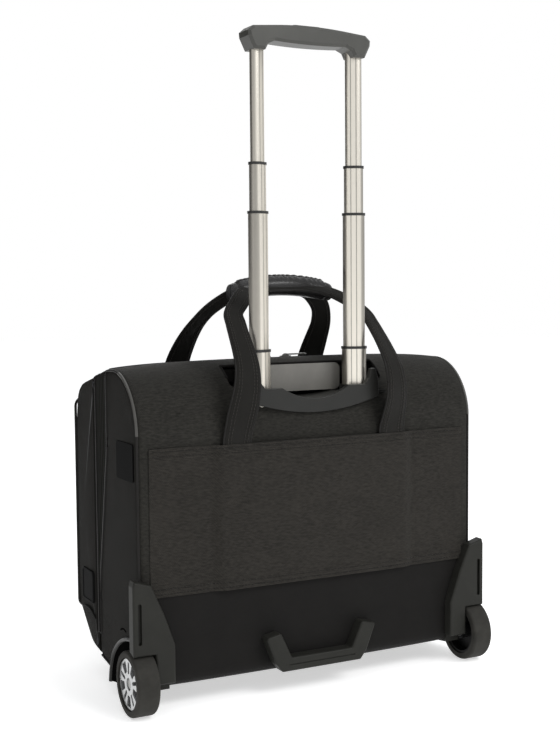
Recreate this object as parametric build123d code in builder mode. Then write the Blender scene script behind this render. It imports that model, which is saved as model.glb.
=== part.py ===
from build123d import *
import os
from math import atan2, cos, sin

os.makedirs("parts", exist_ok=True)

# Rolling laptop case, millimetres, +Z up, standing on z = 0.
# The back (trolley side) faces +Y, the front faces -Y, the width runs along X.
# The origin lies under the middle of the whole case.

# ---------------------------------------------------------------- case body
CASE_HALF_W = 220.0
BACK_Y = 95.6                       # plane of the back fabric
FRONT_Y = BACK_Y - 218.0
SHELL_BACK_Y = BACK_Y - 1.5         # outer face of the rear shell
MAIN_ZIP_Y = BACK_Y - 101.0         # main zipper, over the top
MAIN_ZIP_FOOT_Y = BACK_Y - 132.5    # main zipper, at the bottom of each end
FRONT_ZIP_Y = BACK_Y - 138.3        # zipper round the front compartment
WALL = 2.8                          # padded fabric wall
ZIP_HALF_GAP = 1.5                  # from zipper centre to each section's edge
TAPE_GAP = 0.4                      # clear space between the two zipper tapes
MIDDLE_BOTTOM_Z = 39.0
CORNER_R = 7.0

# Side outline: corner points (y, z) and the rounding at each of them.
OUTLINE = [
    (SHELL_BACK_Y, 26.0),
    (SHELL_BACK_Y, 388.0),
    (BACK_Y - 95.0, 383.0),
    (BACK_Y - 206.0, 357.0),
    (FRONT_Y, 290.0),
    (FRONT_Y, 84.0),
    (BACK_Y - 166.0, 37.5),
    (BACK_Y - 104.0, 28.0),
]
OUTLINE_R = [6.0, 74.0, 80.0, 32.0, 50.0, 35.0, 40.0, 60.0]

# ---------------------------------------------------------------- wheels
WHEEL_R = 36.5
WHEEL_W = 26.0
WHEEL_X = 221.0
WHEEL_Y = BACK_Y - 7.65
RIM_R = 29.0
ARCH_R = WHEEL_R + 2.0
AXLE_R = 4.0
BEARING_BORE_R = AXLE_R + 0.05
BEARING_R = 8.0
BEARING_W = 5.0
BRACKET_INNER_X = 186.0
BRACKET_OUTER_X = CASE_HALF_W - 0.5
BRACKET_WALL_X = 204.0              # inner cheek that holds the axle
GUARD_FACE_Y = BACK_Y + 12.0
GUARD_OUTER_X = 232.6

# ---------------------------------------------------------------- trolley
POLE_X = 63.25
POLE_Y = BACK_Y - 18.0
SLANT = 30.0                        # tube section turned about its own axis
TUBE_WALL = 1.2
SLIDE_GAP = 0.3
STAGE_SIZES = {1: (19.5, 12.0), 2: (22.7, 15.2), 3: (25.9, 18.4), 4: (29.1, 21.6)}
OUTER_SIZE = (32.3, 24.8)
COLLAR_H = 3.0
COLLAR_LIP = 0.9
STAGE_TOPS = {1: 748.0, 2: 608.5, 3: 553.4, 4: 396.1}
STAGE_BOTTOMS = {1: 450.0, 2: 322.0, 3: 268.0, 4: 108.0}
GUIDE_H = 10.0
GUIDE_SWELL = 0.2
OUTER_TOP_Z = 346.0
OUTER_BOTTOM_Z = 52.0

# ---------------------------------------------------------------- trolley grip
GRIP_SEAM_Z = 757.0
GRIP_HALF_DEPTH = 14.5
LEG_BOTTOM_Z = 736.0
BUTTON_HALF_W = 19.0
BUTTON_TOP_Z = 768.0
ROD_R = 2.0

# ---------------------------------------------------------------- carry handles
STRAP_X = 101.5
STRAP_W = 33.0
STRAP_T = 3.4
BAR_W = 20.0
CARRY_Y = BACK_Y - 87.0             # plane where the two handles meet
CARRY_Z = 471.0
REAR_HINGE = (BACK_Y + 4.0, 362.0)
FRONT_HINGE = (BACK_Y - 199.0, 364.0)
WRAP_HALF_L = 66.5
WRAP_HALF_H = 13.5
WRAP_DEPTH = 17.0
WRAP_GAP = 0.5

# ---------------------------------------------------------------- recess
RECESS_HALF_W = 104.0
RECESS_Y = BACK_Y - 46.0
DECK_T = 3.0
LINER_T = 2.0


def case_section(inset, front, rear, bottom=0.0, top=500.0):
    """Side section of the case between two depths, shrunk all round by inset."""
    with BuildSketch(Plane.YZ) as section:
        with BuildLine():
            FilletPolyline(*OUTLINE, radius=OUTLINE_R, close=True)
        make_face()
        if inset:
            offset(amount=-inset)
        with Locations(((front + rear) / 2, (bottom + top) / 2)):
            Rectangle(rear - front, top - bottom, mode=Mode.INTERSECT)
    return section.sketch


def behind_main_zip(shift):
    """Side region behind the main zipper, whose line bends forward on its way down."""
    far_y = BACK_Y + 60.0
    with BuildSketch(Plane.YZ) as region:
        with BuildLine():
            FilletPolyline(
                (MAIN_ZIP_Y + shift, 500.0), (MAIN_ZIP_Y + shift, 285.0),
                (MAIN_ZIP_FOOT_Y + shift, 118.0), (MAIN_ZIP_FOOT_Y + shift, 0.0),
                radius=110.0,
            )
            Polyline(
                (MAIN_ZIP_FOOT_Y + shift, 0.0), (far_y, 0.0), (far_y, 500.0),
                (MAIN_ZIP_Y + shift, 500.0),
            )
        make_face()
    return region.sketch


def pole_pair(size, bore, bottom, top):
    """Two oval tubes, one at each pole, mirror images of each other."""
    with BuildPart() as pair:
        with BuildSketch(Plane.XY.offset(bottom)):
            for side in (1, -1):
                with Locations((side * POLE_X, POLE_Y)):
                    SlotOverall(*size, rotation=side * SLANT)
                    if bore:
                        SlotOverall(*bore, rotation=side * SLANT, mode=Mode.SUBTRACT)
        extrude(amount=top - bottom)
    return pair


def grown(size, amount):
    """Oval size with every side moved out by amount."""
    return (size[0] + 2 * amount, size[1] + 2 * amount)


# ================================================================ wheel area
# Plastic bracket under each lower back corner. It holds the axle in an inner
# cheek and covers the wheel from above and in front.
FENDER_FRONT = (BACK_Y - 98.0, 13.0)
with BuildPart() as wheel_bracket_right:
    with BuildSketch(Plane.YZ.offset(BRACKET_INNER_X)):
        with BuildLine():
            Line((BACK_Y - 2, 26), FENDER_FRONT)
            ThreePointArc(FENDER_FRONT, (BACK_Y - 85, 47), (BACK_Y - 50, 74))
            Line((BACK_Y - 50, 74), (BACK_Y - 2, 80))
            Line((BACK_Y - 2, 80), (BACK_Y - 2, 26))
        make_face()
    extrude(amount=BRACKET_OUTER_X - BRACKET_INNER_X)
    with BuildSketch(Plane.YZ.offset(BRACKET_WALL_X)):
        with Locations((WHEEL_Y, WHEEL_R)):
            Circle(ARCH_R)
        with Locations((WHEEL_Y - 10, WHEEL_R - 40)):
            Rectangle(2 * ARCH_R - 20, 80)
    extrude(amount=BRACKET_OUTER_X, mode=Mode.SUBTRACT)
    with BuildSketch(Plane.YZ.offset(BRACKET_INNER_X - 1)):
        with Locations((BACK_Y - 68, 38)):
            RectangleRounded(30, 26, 5)
    extrude(amount=BRACKET_OUTER_X - BRACKET_INNER_X - 2, mode=Mode.SUBTRACT)
    with BuildSketch(Plane.YZ.offset(BRACKET_INNER_X)):
        with Locations((WHEEL_Y, WHEEL_R)):
            Circle(AXLE_R)
    extrude(amount=BRACKET_OUTER_X, mode=Mode.SUBTRACT)

# Corner guard: satin plastic shield on the back of each lower corner.
with BuildPart() as corner_guard_right:
    with BuildSketch(Plane.XZ.offset(-(BACK_Y - 1.2))):
        with BuildLine():
            Polyline(
                (183.5, 36.0), (183.5, 79.0), (196.0, 114.0), (211.0, 148.0),
                (231.0, 154.0), (GUARD_OUTER_X, 148.0), (GUARD_OUTER_X, 70.5),
                (206.5, 70.5), (206.5, 36.0), close=True,
            )
        make_face()
    extrude(amount=-(GUARD_FACE_Y - BACK_Y + 1.2))
    back_rim = corner_guard_right.faces().sort_by(Axis.Y)[-1].edges()
    fillet(back_rim, radius=2.6)
    with BuildSketch(Plane.XZ.offset(-GUARD_FACE_Y)):
        with Locations((225.0, 106.5)):
            SlotOverall(46.0, 4.2, rotation=90)
    extrude(amount=4.0, mode=Mode.SUBTRACT)
    with BuildSketch(Plane.YZ.offset(206.5)):
        with Locations((WHEEL_Y, WHEEL_R)):
            Circle(ARCH_R)
    extrude(amount=30.0, mode=Mode.SUBTRACT)

# Axle: steel pin through the bracket cheek with a low head outside the hub.
with BuildPart() as axle_right:
    with BuildSketch(Plane.YZ.offset(BRACKET_INNER_X)):
        with Locations((WHEEL_Y, WHEEL_R)):
            Circle(AXLE_R)
    extrude(amount=WHEEL_X + 8.0 - BRACKET_INNER_X)
    with BuildSketch(Plane.YZ.offset(WHEEL_X + 8.0)):
        with Locations((WHEEL_Y, WHEEL_R)):
            Circle(AXLE_R + 2.0)
    extrude(amount=1.8)
    chamfer(axle_right.faces().sort_by(Axis.X)[-1].edges(), length=0.6)

# Rim: turned barrel with a spoked outer face and a hub for two bearings.
SPOKES = 5
WHEEL_PLANE = Plane.YZ.offset(WHEEL_X)
WHEEL_CENTRE = (WHEEL_Y, WHEEL_R)
RIM_IN = -WHEEL_W / 2 + 2.0
RIM_OUT = WHEEL_W / 2 - 2.0
with BuildPart() as rim_right:
    with BuildSketch(WHEEL_PLANE.offset(RIM_IN)):
        with Locations(WHEEL_CENTRE):
            Circle(RIM_R)
            Circle(RIM_R - 3.0, mode=Mode.SUBTRACT)
            Circle(BEARING_R + 2.6)
            Circle(BEARING_R, mode=Mode.SUBTRACT)
    extrude(amount=RIM_OUT - RIM_IN)
    with BuildSketch(WHEEL_PLANE.offset(-1.0)):
        with Locations(WHEEL_CENTRE):
            Circle(RIM_R)
            Circle(BEARING_R, mode=Mode.SUBTRACT)
    extrude(amount=2.5)
    with BuildSketch(WHEEL_PLANE.offset(RIM_OUT - 5.0)):
        with Locations(WHEEL_CENTRE):
            Circle(RIM_R)
            with PolarLocations(18.2, SPOKES, start_angle=90):
                SlotOverall(13.5, 4.2, mode=Mode.SUBTRACT)
            with PolarLocations(19.2, SPOKES, start_angle=90 + 180 / SPOKES):
                Trapezoid(12.5, 12.0, 78, rotation=90, mode=Mode.SUBTRACT)
            Circle(AXLE_R + 3.0, mode=Mode.SUBTRACT)
    extrude(amount=5.0)
    chamfer(
        rim_right.faces().sort_by(Axis.X)[-1].outer_wire().edges(),
        length=1.2,
    )

# Tyre: soft tread with rounded shoulders.
with BuildPart() as tyre_right:
    with BuildSketch(WHEEL_PLANE.offset(-WHEEL_W / 2)):
        with Locations(WHEEL_CENTRE):
            Circle(WHEEL_R)
            Circle(RIM_R, mode=Mode.SUBTRACT)
    extrude(amount=WHEEL_W)
    tread_edges = tyre_right.edges().filter_by(GeomType.CIRCLE)
    fillet(tread_edges.filter_by(lambda e: e.radius > RIM_R + 1), radius=3.2)

# Two ball bearings pressed into the hub.
with BuildPart() as bearings_right:
    for start in (RIM_IN, RIM_OUT - 5.0 - BEARING_W):
        with BuildSketch(WHEEL_PLANE.offset(start)):
            with Locations(WHEEL_CENTRE):
                Circle(BEARING_R)
                Circle(BEARING_BORE_R, mode=Mode.SUBTRACT)
        extrude(amount=BEARING_W)

for part_name, right_part in (
    ("wheel_bracket", wheel_bracket_right),
    ("corner_guard", corner_guard_right),
    ("axle", axle_right),
    ("rim", rim_right),
    ("tyre", tyre_right),
    ("wheel_bearings", bearings_right),
):
    right_part.part.label = f"{part_name}_right"
    export_step(right_part.part, f"parts/{part_name}_right.step")
    with BuildPart() as left_part:
        mirror(right_part.part, about=Plane.YZ)
    left_part.part.label = f"{part_name}_left"
    export_step(left_part.part, f"parts/{part_name}_left.step")

# ================================================================ handle recess
# Handle housing: lip on the back with a horn at each end and a finger scoop
# between the poles, and a deck, flat beside the scoop, that the poles pass through.
LIP_FOOT = (84.0, 340.0)
LIP_LOW_Z = 325.5
LIP_FRONT = 5.2                     # how far the lip stands out of the shell
LIP_ROUND = 0.8
HORN = [(84.5, 350.0), (83.0, 364.0), (80.0, 373.0), (74.5, 373.0), (71.5, 362.0), (66.0, 355.0)]
SCOOP_END = (44.0, 355.0)
SCOOP_LOW_Z = 341.8
DECK_FLAT_Z = 346.2
DECK_HALF_W = 99.0
SOCKET_TOP_Z = 353.8
DECK_LOW_Z = DECK_FLAT_Z - DECK_T
with BuildPart() as handle_housing:
    with BuildSketch(Plane.XZ.offset(-(SHELL_BACK_Y - 2.2))):
        with BuildLine():
            ThreePointArc((-LIP_FOOT[0], LIP_FOOT[1]), (0.0, LIP_LOW_Z), LIP_FOOT)
            Polyline(LIP_FOOT, *HORN, SCOOP_END)
            ThreePointArc(SCOOP_END, (0.0, SCOOP_LOW_Z), (-SCOOP_END[0], SCOOP_END[1]))
            Polyline(*((-x, z) for x, z in (SCOOP_END, *reversed(HORN), LIP_FOOT)))
        make_face()
    extrude(amount=-(LIP_FRONT + 2.2))
    fillet(handle_housing.faces().sort_by(Axis.Y)[-1].edges(), radius=LIP_ROUND)
    with BuildSketch(Plane.XZ.offset(-RECESS_Y)):
        with BuildLine():
            Polyline(
                (-SCOOP_END[0], DECK_FLAT_Z), (-DECK_HALF_W, DECK_FLAT_Z),
                (-DECK_HALF_W, DECK_LOW_Z), (-SCOOP_END[0], DECK_LOW_Z),
            )
            ThreePointArc(
                (-SCOOP_END[0], DECK_LOW_Z), (0.0, SCOOP_LOW_Z - DECK_T), (SCOOP_END[0], DECK_LOW_Z)
            )
            Polyline(
                (SCOOP_END[0], DECK_LOW_Z), (DECK_HALF_W, DECK_LOW_Z),
                (DECK_HALF_W, DECK_FLAT_Z), (SCOOP_END[0], DECK_FLAT_Z),
            )
            ThreePointArc(
                (SCOOP_END[0], DECK_FLAT_Z), (0.0, SCOOP_LOW_Z), (-SCOOP_END[0], DECK_FLAT_Z)
            )
        make_face()
    extrude(amount=-(SHELL_BACK_Y - 2.2 - RECESS_Y))
    with BuildSketch(Plane.XY.offset(OUTER_TOP_Z)):
        for side in (1, -1):
            with Locations((side * POLE_X, POLE_Y)):
                SlotOverall(*grown(OUTER_SIZE, 1.4), rotation=side * SLANT)
    extrude(amount=SOCKET_TOP_Z - OUTER_TOP_Z)
    with BuildSketch(Plane.XY.offset(300)):
        for side in (1, -1):
            with Locations((side * POLE_X, POLE_Y)):
                SlotOverall(*grown(STAGE_SIZES[4], SLIDE_GAP), rotation=side * SLANT)
    extrude(amount=100, mode=Mode.SUBTRACT)
    with BuildSketch(Plane.XY.offset(300)):
        for side in (1, -1):
            with Locations((side * POLE_X, POLE_Y)):
                SlotOverall(*OUTER_SIZE, rotation=side * SLANT)
    extrude(amount=OUTER_TOP_Z - 300, mode=Mode.SUBTRACT)
handle_housing.part.label = "handle_housing"
export_step(handle_housing.part, "parts/handle_housing.step")

# Liner: fabric-covered wall round the sides and front of the recess.
with BuildPart() as recess_liner:
    with BuildSketch(Plane.XY.offset(361.0)):
        with BuildLine():
            Polyline(
                (-RECESS_HALF_W, BACK_Y - 24), (-RECESS_HALF_W, RECESS_Y),
                (RECESS_HALF_W, RECESS_Y), (RECESS_HALF_W, BACK_Y - 24),
            )
            offset(amount=LINER_T, side=Side.RIGHT)
        make_face()
    extrude(amount=40.0)
    extrude(
        case_section(WALL + 0.2, RECESS_Y - 20, BACK_Y),
        amount=CASE_HALF_W,
        both=True,
        mode=Mode.INTERSECT,
    )
recess_liner.part.label = "recess_liner"
export_step(recess_liner.part, "parts/recess_liner.step")

# Recess plate: curved grey plate with rounded corners that stands behind the poles.
PLATE_HALF_W = 54.0
PLATE_LOW_Z = 347.0
PLATE_HIGH_Z = 379.0
with BuildPart() as recess_plate:
    with BuildSketch(Plane.XY.offset(PLATE_LOW_Z)):
        with BuildLine():
            ThreePointArc((-60, BACK_Y - 38), (0, BACK_Y - 42), (60, BACK_Y - 38))
            Line((60, BACK_Y - 38), (60, BACK_Y - 36))
            ThreePointArc((60, BACK_Y - 36), (0, BACK_Y - 40), (-60, BACK_Y - 36))
            Line((-60, BACK_Y - 36), (-60, BACK_Y - 38))
        make_face()
    extrude(amount=PLATE_HIGH_Z - PLATE_LOW_Z)
    with BuildSketch(Plane.XZ.offset(-(BACK_Y - 44))):
        with Locations((0, (PLATE_LOW_Z + PLATE_HIGH_Z) / 2)):
            RectangleRounded(2 * PLATE_HALF_W, PLATE_HIGH_Z - PLATE_LOW_Z, 7.0)
    extrude(amount=-10.0, mode=Mode.INTERSECT)
    add(handle_housing.part, mode=Mode.SUBTRACT)
recess_plate.part.label = "recess_plate"
export_step(recess_plate.part, "parts/recess_plate.step")

# ================================================================ rear shell
with BuildPart() as rear_shell:
    extrude(case_section(0, FRONT_ZIP_Y, BACK_Y), amount=CASE_HALF_W, both=True)
    extrude(
        behind_main_zip(ZIP_HALF_GAP), amount=2 * CASE_HALF_W, both=True, mode=Mode.INTERSECT
    )
    back_corners = rear_shell.edges().filter_by(Axis.Z).sort_by(Axis.Y)[-2:]
    fillet(back_corners, radius=CORNER_R)
    extrude(
        case_section(WALL, FRONT_Y, BACK_Y),
        amount=CASE_HALF_W - WALL,
        both=True,
        mode=Mode.SUBTRACT,
    )
    with BuildSketch(Plane.XZ.offset(-(BACK_Y + 5))):
        with BuildLine():
            ThreePointArc((-82.0, 342.0), (0.0, 328.0), (82.0, 342.0))
            Polyline(
                (82.0, 342.0), (85.0, 353.0), (RECESS_HALF_W - 2, 360.0),
                (RECESS_HALF_W - 2, 400.0), (-RECESS_HALF_W + 2, 400.0),
                (-RECESS_HALF_W + 2, 360.0), (-85.0, 353.0), (-82.0, 342.0),
            )
        make_face()
    extrude(amount=BACK_Y + 5 - RECESS_Y, mode=Mode.SUBTRACT)
    add(wheel_bracket_right.part, mode=Mode.SUBTRACT)
    add(corner_guard_right.part, mode=Mode.SUBTRACT)
    add(axle_right.part, mode=Mode.SUBTRACT)
    with BuildSketch(Plane.XY.offset(OUTER_BOTTOM_Z - 1)):
        with Locations((POLE_X, POLE_Y)):
            SlotOverall(*OUTER_SIZE, rotation=SLANT)
    extrude(amount=400.0, mode=Mode.SUBTRACT)
    with BuildSketch(Plane.YZ.offset(BRACKET_WALL_X)):
        with Locations(WHEEL_CENTRE):
            Circle(ARCH_R)
        with Locations((WHEEL_Y - 10, WHEEL_R - 40)):
            Rectangle(2 * ARCH_R - 20, 80)
    extrude(amount=40, mode=Mode.SUBTRACT)
    split(bisect_by=Plane.YZ, keep=Keep.TOP)
    mirror(about=Plane.YZ)
    add(handle_housing.part, mode=Mode.SUBTRACT)
rear_shell.part.label = "rear_shell"
export_step(rear_shell.part, "parts/rear_shell.step")

# ================================================================ base and back
# Inner base plate and back board: the stiff frame inside the fabric.
BASE_Z = 32.0
BASE_T = 3.0
BOARD_Y = BACK_Y - 34.0
BOARD_T = 2.0
with BuildPart() as base_plate:
    with BuildSketch(Plane.XY.offset(BASE_Z)):
        with Locations((0, BACK_Y - 55.0)):
            RectangleRounded(366.0, 94.0, 6.0)
    extrude(amount=BASE_T)
    with BuildSketch(Plane.XY.offset(BASE_Z + BASE_T)):
        with Locations((0, BACK_Y - 55.0)):
            with GridLocations(60.0, 1.0, 6, 1):
                Rectangle(3.0, 60.0)
    extrude(amount=4.0)
base_plate.part.label = "base_plate"

with BuildPart() as back_board:
    with BuildSketch(Plane.XZ.offset(-BOARD_Y)):
        with BuildLine():
            FilletPolyline(
                (-183.0, 41.0), (-183.0, 84.0), (-212.0, 100.0), (-212.0, 336.0),
                (212.0, 336.0), (212.0, 100.0), (183.0, 84.0), (183.0, 41.0),
                radius=8.0, close=True,
            )
        make_face()
    extrude(amount=BOARD_T)
back_board.part.label = "back_board"
export_step(back_board.part, "parts/back_board.step")

# ================================================================ trolley tubes
outer_tubes = pole_pair(OUTER_SIZE, grown(OUTER_SIZE, -TUBE_WALL), OUTER_BOTTOM_Z, OUTER_TOP_Z)
outer_tubes.part.label = "outer_tubes"
export_step(outer_tubes.part, "parts/outer_tubes.step")

# Bottom bracket: joins both outer tubes to the base plate.
BRACKET_DEPTH = 29.2
BRACKET_MID_Y = BOARD_Y + BRACKET_DEPTH / 2 + 0.1
with BuildPart() as tube_bracket:
    with BuildSketch(Plane.XY.offset(BASE_Z + BASE_T)):
        with Locations((0, BRACKET_MID_Y)):
            RectangleRounded(2 * POLE_X + 50.0, BRACKET_DEPTH, 8.0)
    extrude(amount=OUTER_BOTTOM_Z - BASE_Z - BASE_T)
    for side in (1, -1):
        with BuildSketch(Plane.XY.offset(OUTER_BOTTOM_Z)):
            with Locations((side * POLE_X, BRACKET_MID_Y)):
                RectangleRounded(46.0, BRACKET_DEPTH, 8.0)
            with Locations((side * POLE_X, POLE_Y)):
                SlotOverall(*OUTER_SIZE, rotation=side * SLANT, mode=Mode.SUBTRACT)
        extrude(amount=12.0)
    add(base_plate.part, mode=Mode.SUBTRACT)
tube_bracket.part.label = "tube_bracket"
export_step(tube_bracket.part, "parts/tube_bracket.step")
export_step(base_plate.part, "parts/base_plate.step")

# Four sliding stages, each with a nylon guide ring at its foot.
for stage, size in STAGE_SIZES.items():
    bore = grown(size, -TUBE_WALL)
    foot = STAGE_BOTTOMS[stage]
    tubes = pole_pair(size, bore, foot + GUIDE_H, STAGE_TOPS[stage])
    tubes.part.label = f"stage_{stage}_tubes"
    export_step(tubes.part, f"parts/stage_{stage}_tubes.step")
    guides = pole_pair(grown(size, GUIDE_SWELL - 0.1), bore, foot, foot + GUIDE_H)
    guides.part.label = f"stage_{stage}_guides"
    export_step(guides.part, f"parts/stage_{stage}_guides.step")

# Black collar round the mouth of each stage that another one slides out of.
for stage in (2, 3, 4):
    mouth = grown(STAGE_SIZES[stage - 1], SLIDE_GAP)
    rim_size = grown(STAGE_SIZES[stage], COLLAR_LIP)
    collars = pole_pair(rim_size, mouth, STAGE_TOPS[stage], STAGE_TOPS[stage] + COLLAR_H)
    collars.part.label = f"stage_{stage}_collars"
    export_step(collars.part, f"parts/stage_{stage}_collars.step")

# ================================================================ trolley grip
SEAM_PLANE = Plane.XY.offset(GRIP_SEAM_Z)
with BuildPart() as grip_block:
    with BuildSketch(Plane.XZ.offset(-(POLE_Y + GRIP_HALF_DEPTH))):
        with BuildLine():
            Polyline(
                (-46.0, 746.5), (-54.0, 743.0), (-57.5, LEG_BOTTOM_Z), (-72.0, LEG_BOTTOM_Z),
                (-79.0, 750.0), (-79.5, 756.0), (-73.0, 761.5), (-45.0, 764.0),
            )
            ThreePointArc((-45.0, 764.0), (0.0, 766.0), (45.0, 764.0))
            Polyline(
                (45.0, 764.0), (73.0, 761.5), (79.5, 756.0), (79.0, 750.0),
                (72.0, LEG_BOTTOM_Z), (57.5, LEG_BOTTOM_Z), (54.0, 743.0), (46.0, 746.5),
            )
            ThreePointArc((46.0, 746.5), (0.0, 745.0), (-46.0, 746.5))
        make_face()
    extrude(amount=2 * GRIP_HALF_DEPTH)
    for side in (0, -1):
        chamfer(grip_block.faces().sort_by(Axis.Y)[side].outer_wire().edges(), length=3.0)
    with BuildSketch(Plane.XY.offset(LEG_BOTTOM_Z - 1)):
        for side in (1, -1):
            with Locations((side * POLE_X, POLE_Y)):
                SlotOverall(*STAGE_SIZES[1], rotation=side * SLANT)
    extrude(amount=STAGE_TOPS[1] - LEG_BOTTOM_Z + 1, mode=Mode.SUBTRACT)
    with BuildSketch(Plane.XY.offset(749.0)):
        with Locations((0, POLE_Y)):
            RectangleRounded(2 * POLE_X + 14.0, 15.0, 4.0)
    extrude(amount=9.8, mode=Mode.SUBTRACT)
    with BuildSketch(Plane.XY.offset(755.0)):
        with Locations((0, POLE_Y)):
            SlotOverall(2 * BUTTON_HALF_W + 0.8, 11.0)
    extrude(amount=20.0, mode=Mode.SUBTRACT)
    with BuildSketch(Plane.XY.offset(LEG_BOTTOM_Z)):
        with Locations((POLE_X, POLE_Y), (-POLE_X, POLE_Y)):
            Circle(ROD_R + 0.4)
    extrude(amount=16.0, mode=Mode.SUBTRACT)

with BuildPart() as grip_lower:
    add(grip_block.part)
    split(bisect_by=SEAM_PLANE, keep=Keep.BOTTOM)
grip_lower.part.label = "grip_lower"
export_step(grip_lower.part, "parts/grip_lower.step")

with BuildPart() as grip_upper:
    add(grip_block.part)
    split(bisect_by=SEAM_PLANE, keep=Keep.TOP)
grip_upper.part.label = "grip_upper"
export_step(grip_upper.part, "parts/grip_upper.step")

# Release button with its cross beam, and the rods that run down the tubes.
BEAM_Z = 755.5
with BuildPart() as grip_button:
    with BuildSketch(Plane.XY.offset(BEAM_Z)):
        with Locations((0, POLE_Y)):
            SlotOverall(2 * BUTTON_HALF_W, 10.2)
    extrude(amount=BUTTON_TOP_Z - BEAM_Z)
    fillet(grip_button.faces().sort_by(Axis.Z)[-1].edges(), radius=1.6)
    with BuildSketch(Plane.XY.offset(BEAM_Z)):
        with Locations((0, POLE_Y)):
            Rectangle(2 * POLE_X + 6.0, 6.0)
    extrude(amount=3.0)
grip_button.part.label = "grip_button"
export_step(grip_button.part, "parts/grip_button.step")

with BuildPart() as release_rods:
    with BuildSketch(Plane.XY.offset(STAGE_BOTTOMS[1] + 14.0)):
        with Locations((POLE_X, POLE_Y), (-POLE_X, POLE_Y)):
            Circle(ROD_R)
    extrude(amount=BEAM_Z - STAGE_BOTTOMS[1] - 14.0)
release_rods.part.label = "release_rods"
export_step(release_rods.part, "parts/release_rods.step")

SPRING_PLACES = (-40.0, 40.0)
SPRING_H = 6.0
with BuildPart() as button_springs:
    for place in SPRING_PLACES:
        spring_plane = Plane.XY.offset(749.5).move(Location((place, POLE_Y, 0)))
        with BuildLine(spring_plane):
            coil = Helix(pitch=1.5, height=SPRING_H - 0.6, radius=2.4)
        with BuildSketch(Plane(origin=coil @ 0, z_dir=coil % 0)):
            Circle(0.3)
        sweep(path=coil, is_frenet=True)
button_springs.part.label = "button_springs"
export_step(button_springs.part, "parts/button_springs.step")

# ================================================================ back details
# Sleeve band: stitched flat at both sides and standing off in the middle, so
# that the case slips over the poles of a larger suitcase.
BAND_BOTTOM_Z = 130.0
BAND_TOP_Z = 295.0
SEAM_X = 134.0
BAND_T = 1.4
SLEEVE_GAP = 4.5
with BuildPart() as back_sleeve_band:
    with BuildSketch(Plane.XY.offset(BAND_BOTTOM_Z)):
        with BuildLine():
            Polyline(
                (-207.0, SHELL_BACK_Y), (-SEAM_X, SHELL_BACK_Y),
                (-SEAM_X + 10, SHELL_BACK_Y + SLEEVE_GAP),
                (SEAM_X - 10, SHELL_BACK_Y + SLEEVE_GAP), (SEAM_X, SHELL_BACK_Y),
                (207.0, SHELL_BACK_Y), (207.0, SHELL_BACK_Y + BAND_T),
                (SEAM_X, SHELL_BACK_Y + BAND_T),
                (SEAM_X - 10, SHELL_BACK_Y + SLEEVE_GAP + BAND_T),
                (-SEAM_X + 10, SHELL_BACK_Y + SLEEVE_GAP + BAND_T),
                (-SEAM_X, SHELL_BACK_Y + BAND_T),
                (-207.0, SHELL_BACK_Y + BAND_T), close=True,
            )
        make_face()
    extrude(amount=BAND_TOP_Z - BAND_BOTTOM_Z)
    add(corner_guard_right.part, mode=Mode.SUBTRACT)
    mirror(corner_guard_right.part, about=Plane.YZ, mode=Mode.SUBTRACT)
back_sleeve_band.part.label = "back_sleeve_band"
export_step(back_sleeve_band.part, "parts/back_sleeve_band.step")

# Skid bar: U-shaped rubbing bar low on the back, for stairs and kerbs.
with BuildPart() as skid_bar:
    with BuildSketch(Plane.XZ.offset(-SHELL_BACK_Y)):
        with BuildLine():
            Polyline(
                (-73.0, 70.0), (-54.0, 74.0), (-40.0, 44.0), (40.0, 44.0),
                (54.0, 74.0), (73.0, 70.0), (60.0, 38.0), (52.0, 28.0),
                (-52.0, 28.0), (-60.0, 38.0), close=True,
            )
        make_face()
    extrude(amount=-16.5)
    fillet(skid_bar.edges().filter_by(Axis.Y), radius=3.0)
    fillet(skid_bar.faces().sort_by(Axis.Y)[-1].outer_wire().edges(), radius=2.4)
    with BuildSketch(Plane.XZ.offset(-(SHELL_BACK_Y + 16.5))):
        with Locations((0, 36.0)):
            Rectangle(88.0, 1.4)
    extrude(amount=0.9, mode=Mode.SUBTRACT)
skid_bar.part.label = "skid_bar"
export_step(skid_bar.part, "parts/skid_bar.step")

# Front feet: rubber-tipped posts under the bottom gusset.
FOOT_X = 140.0
FOOT_Y = BACK_Y - 124.0
with BuildPart() as front_feet:
    with BuildSketch(Plane.XY):
        with Locations((FOOT_X, FOOT_Y), (-FOOT_X, FOOT_Y)):
            RectangleRounded(44.0, 16.0, 7.0)
    extrude(amount=31.5, taper=-4)
    fillet(front_feet.faces().filter_by(Plane.XY).group_by(Axis.Z)[0].edges(), radius=2.0)
    add(rear_shell.part, mode=Mode.SUBTRACT)
front_feet.part.label = "front_feet"
export_step(front_feet.part, "parts/front_feet.step")

# Blank rubber tab on each end, just in front of the back edge.
with BuildPart() as end_tabs:
    for side in (1, -1):
        with BuildSketch(Plane.YZ.offset(side * CASE_HALF_W)):
            with Locations((BACK_Y - 38.0, 279.0)):
                RectangleRounded(52.0, 42.0, 3.0)
        extrude(amount=side * 1.6)
end_tabs.part.label = "end_tabs"
export_step(end_tabs.part, "parts/end_tabs.step")

# Laptop sleeve: padded pocket open at the top, against the back board.
SLEEVE_FRONT_Y = BACK_Y - 72.0
with BuildPart() as laptop_sleeve:
    with BuildSketch(Plane.XY.offset(40.0)):
        with Locations((0, (BOARD_Y - BOARD_T + SLEEVE_FRONT_Y) / 2)):
            Rectangle(362.0, BOARD_Y - BOARD_T - SLEEVE_FRONT_Y)
    extrude(amount=250.0)
    sleeve_top = laptop_sleeve.faces().sort_by(Axis.Z)[-1]
    offset(amount=-4.0, openings=sleeve_top)
laptop_sleeve.part.label = "laptop_sleeve"
export_step(laptop_sleeve.part, "parts/laptop_sleeve.step")

# ================================================================ zippers
TAPE_T = 1.2


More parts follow.
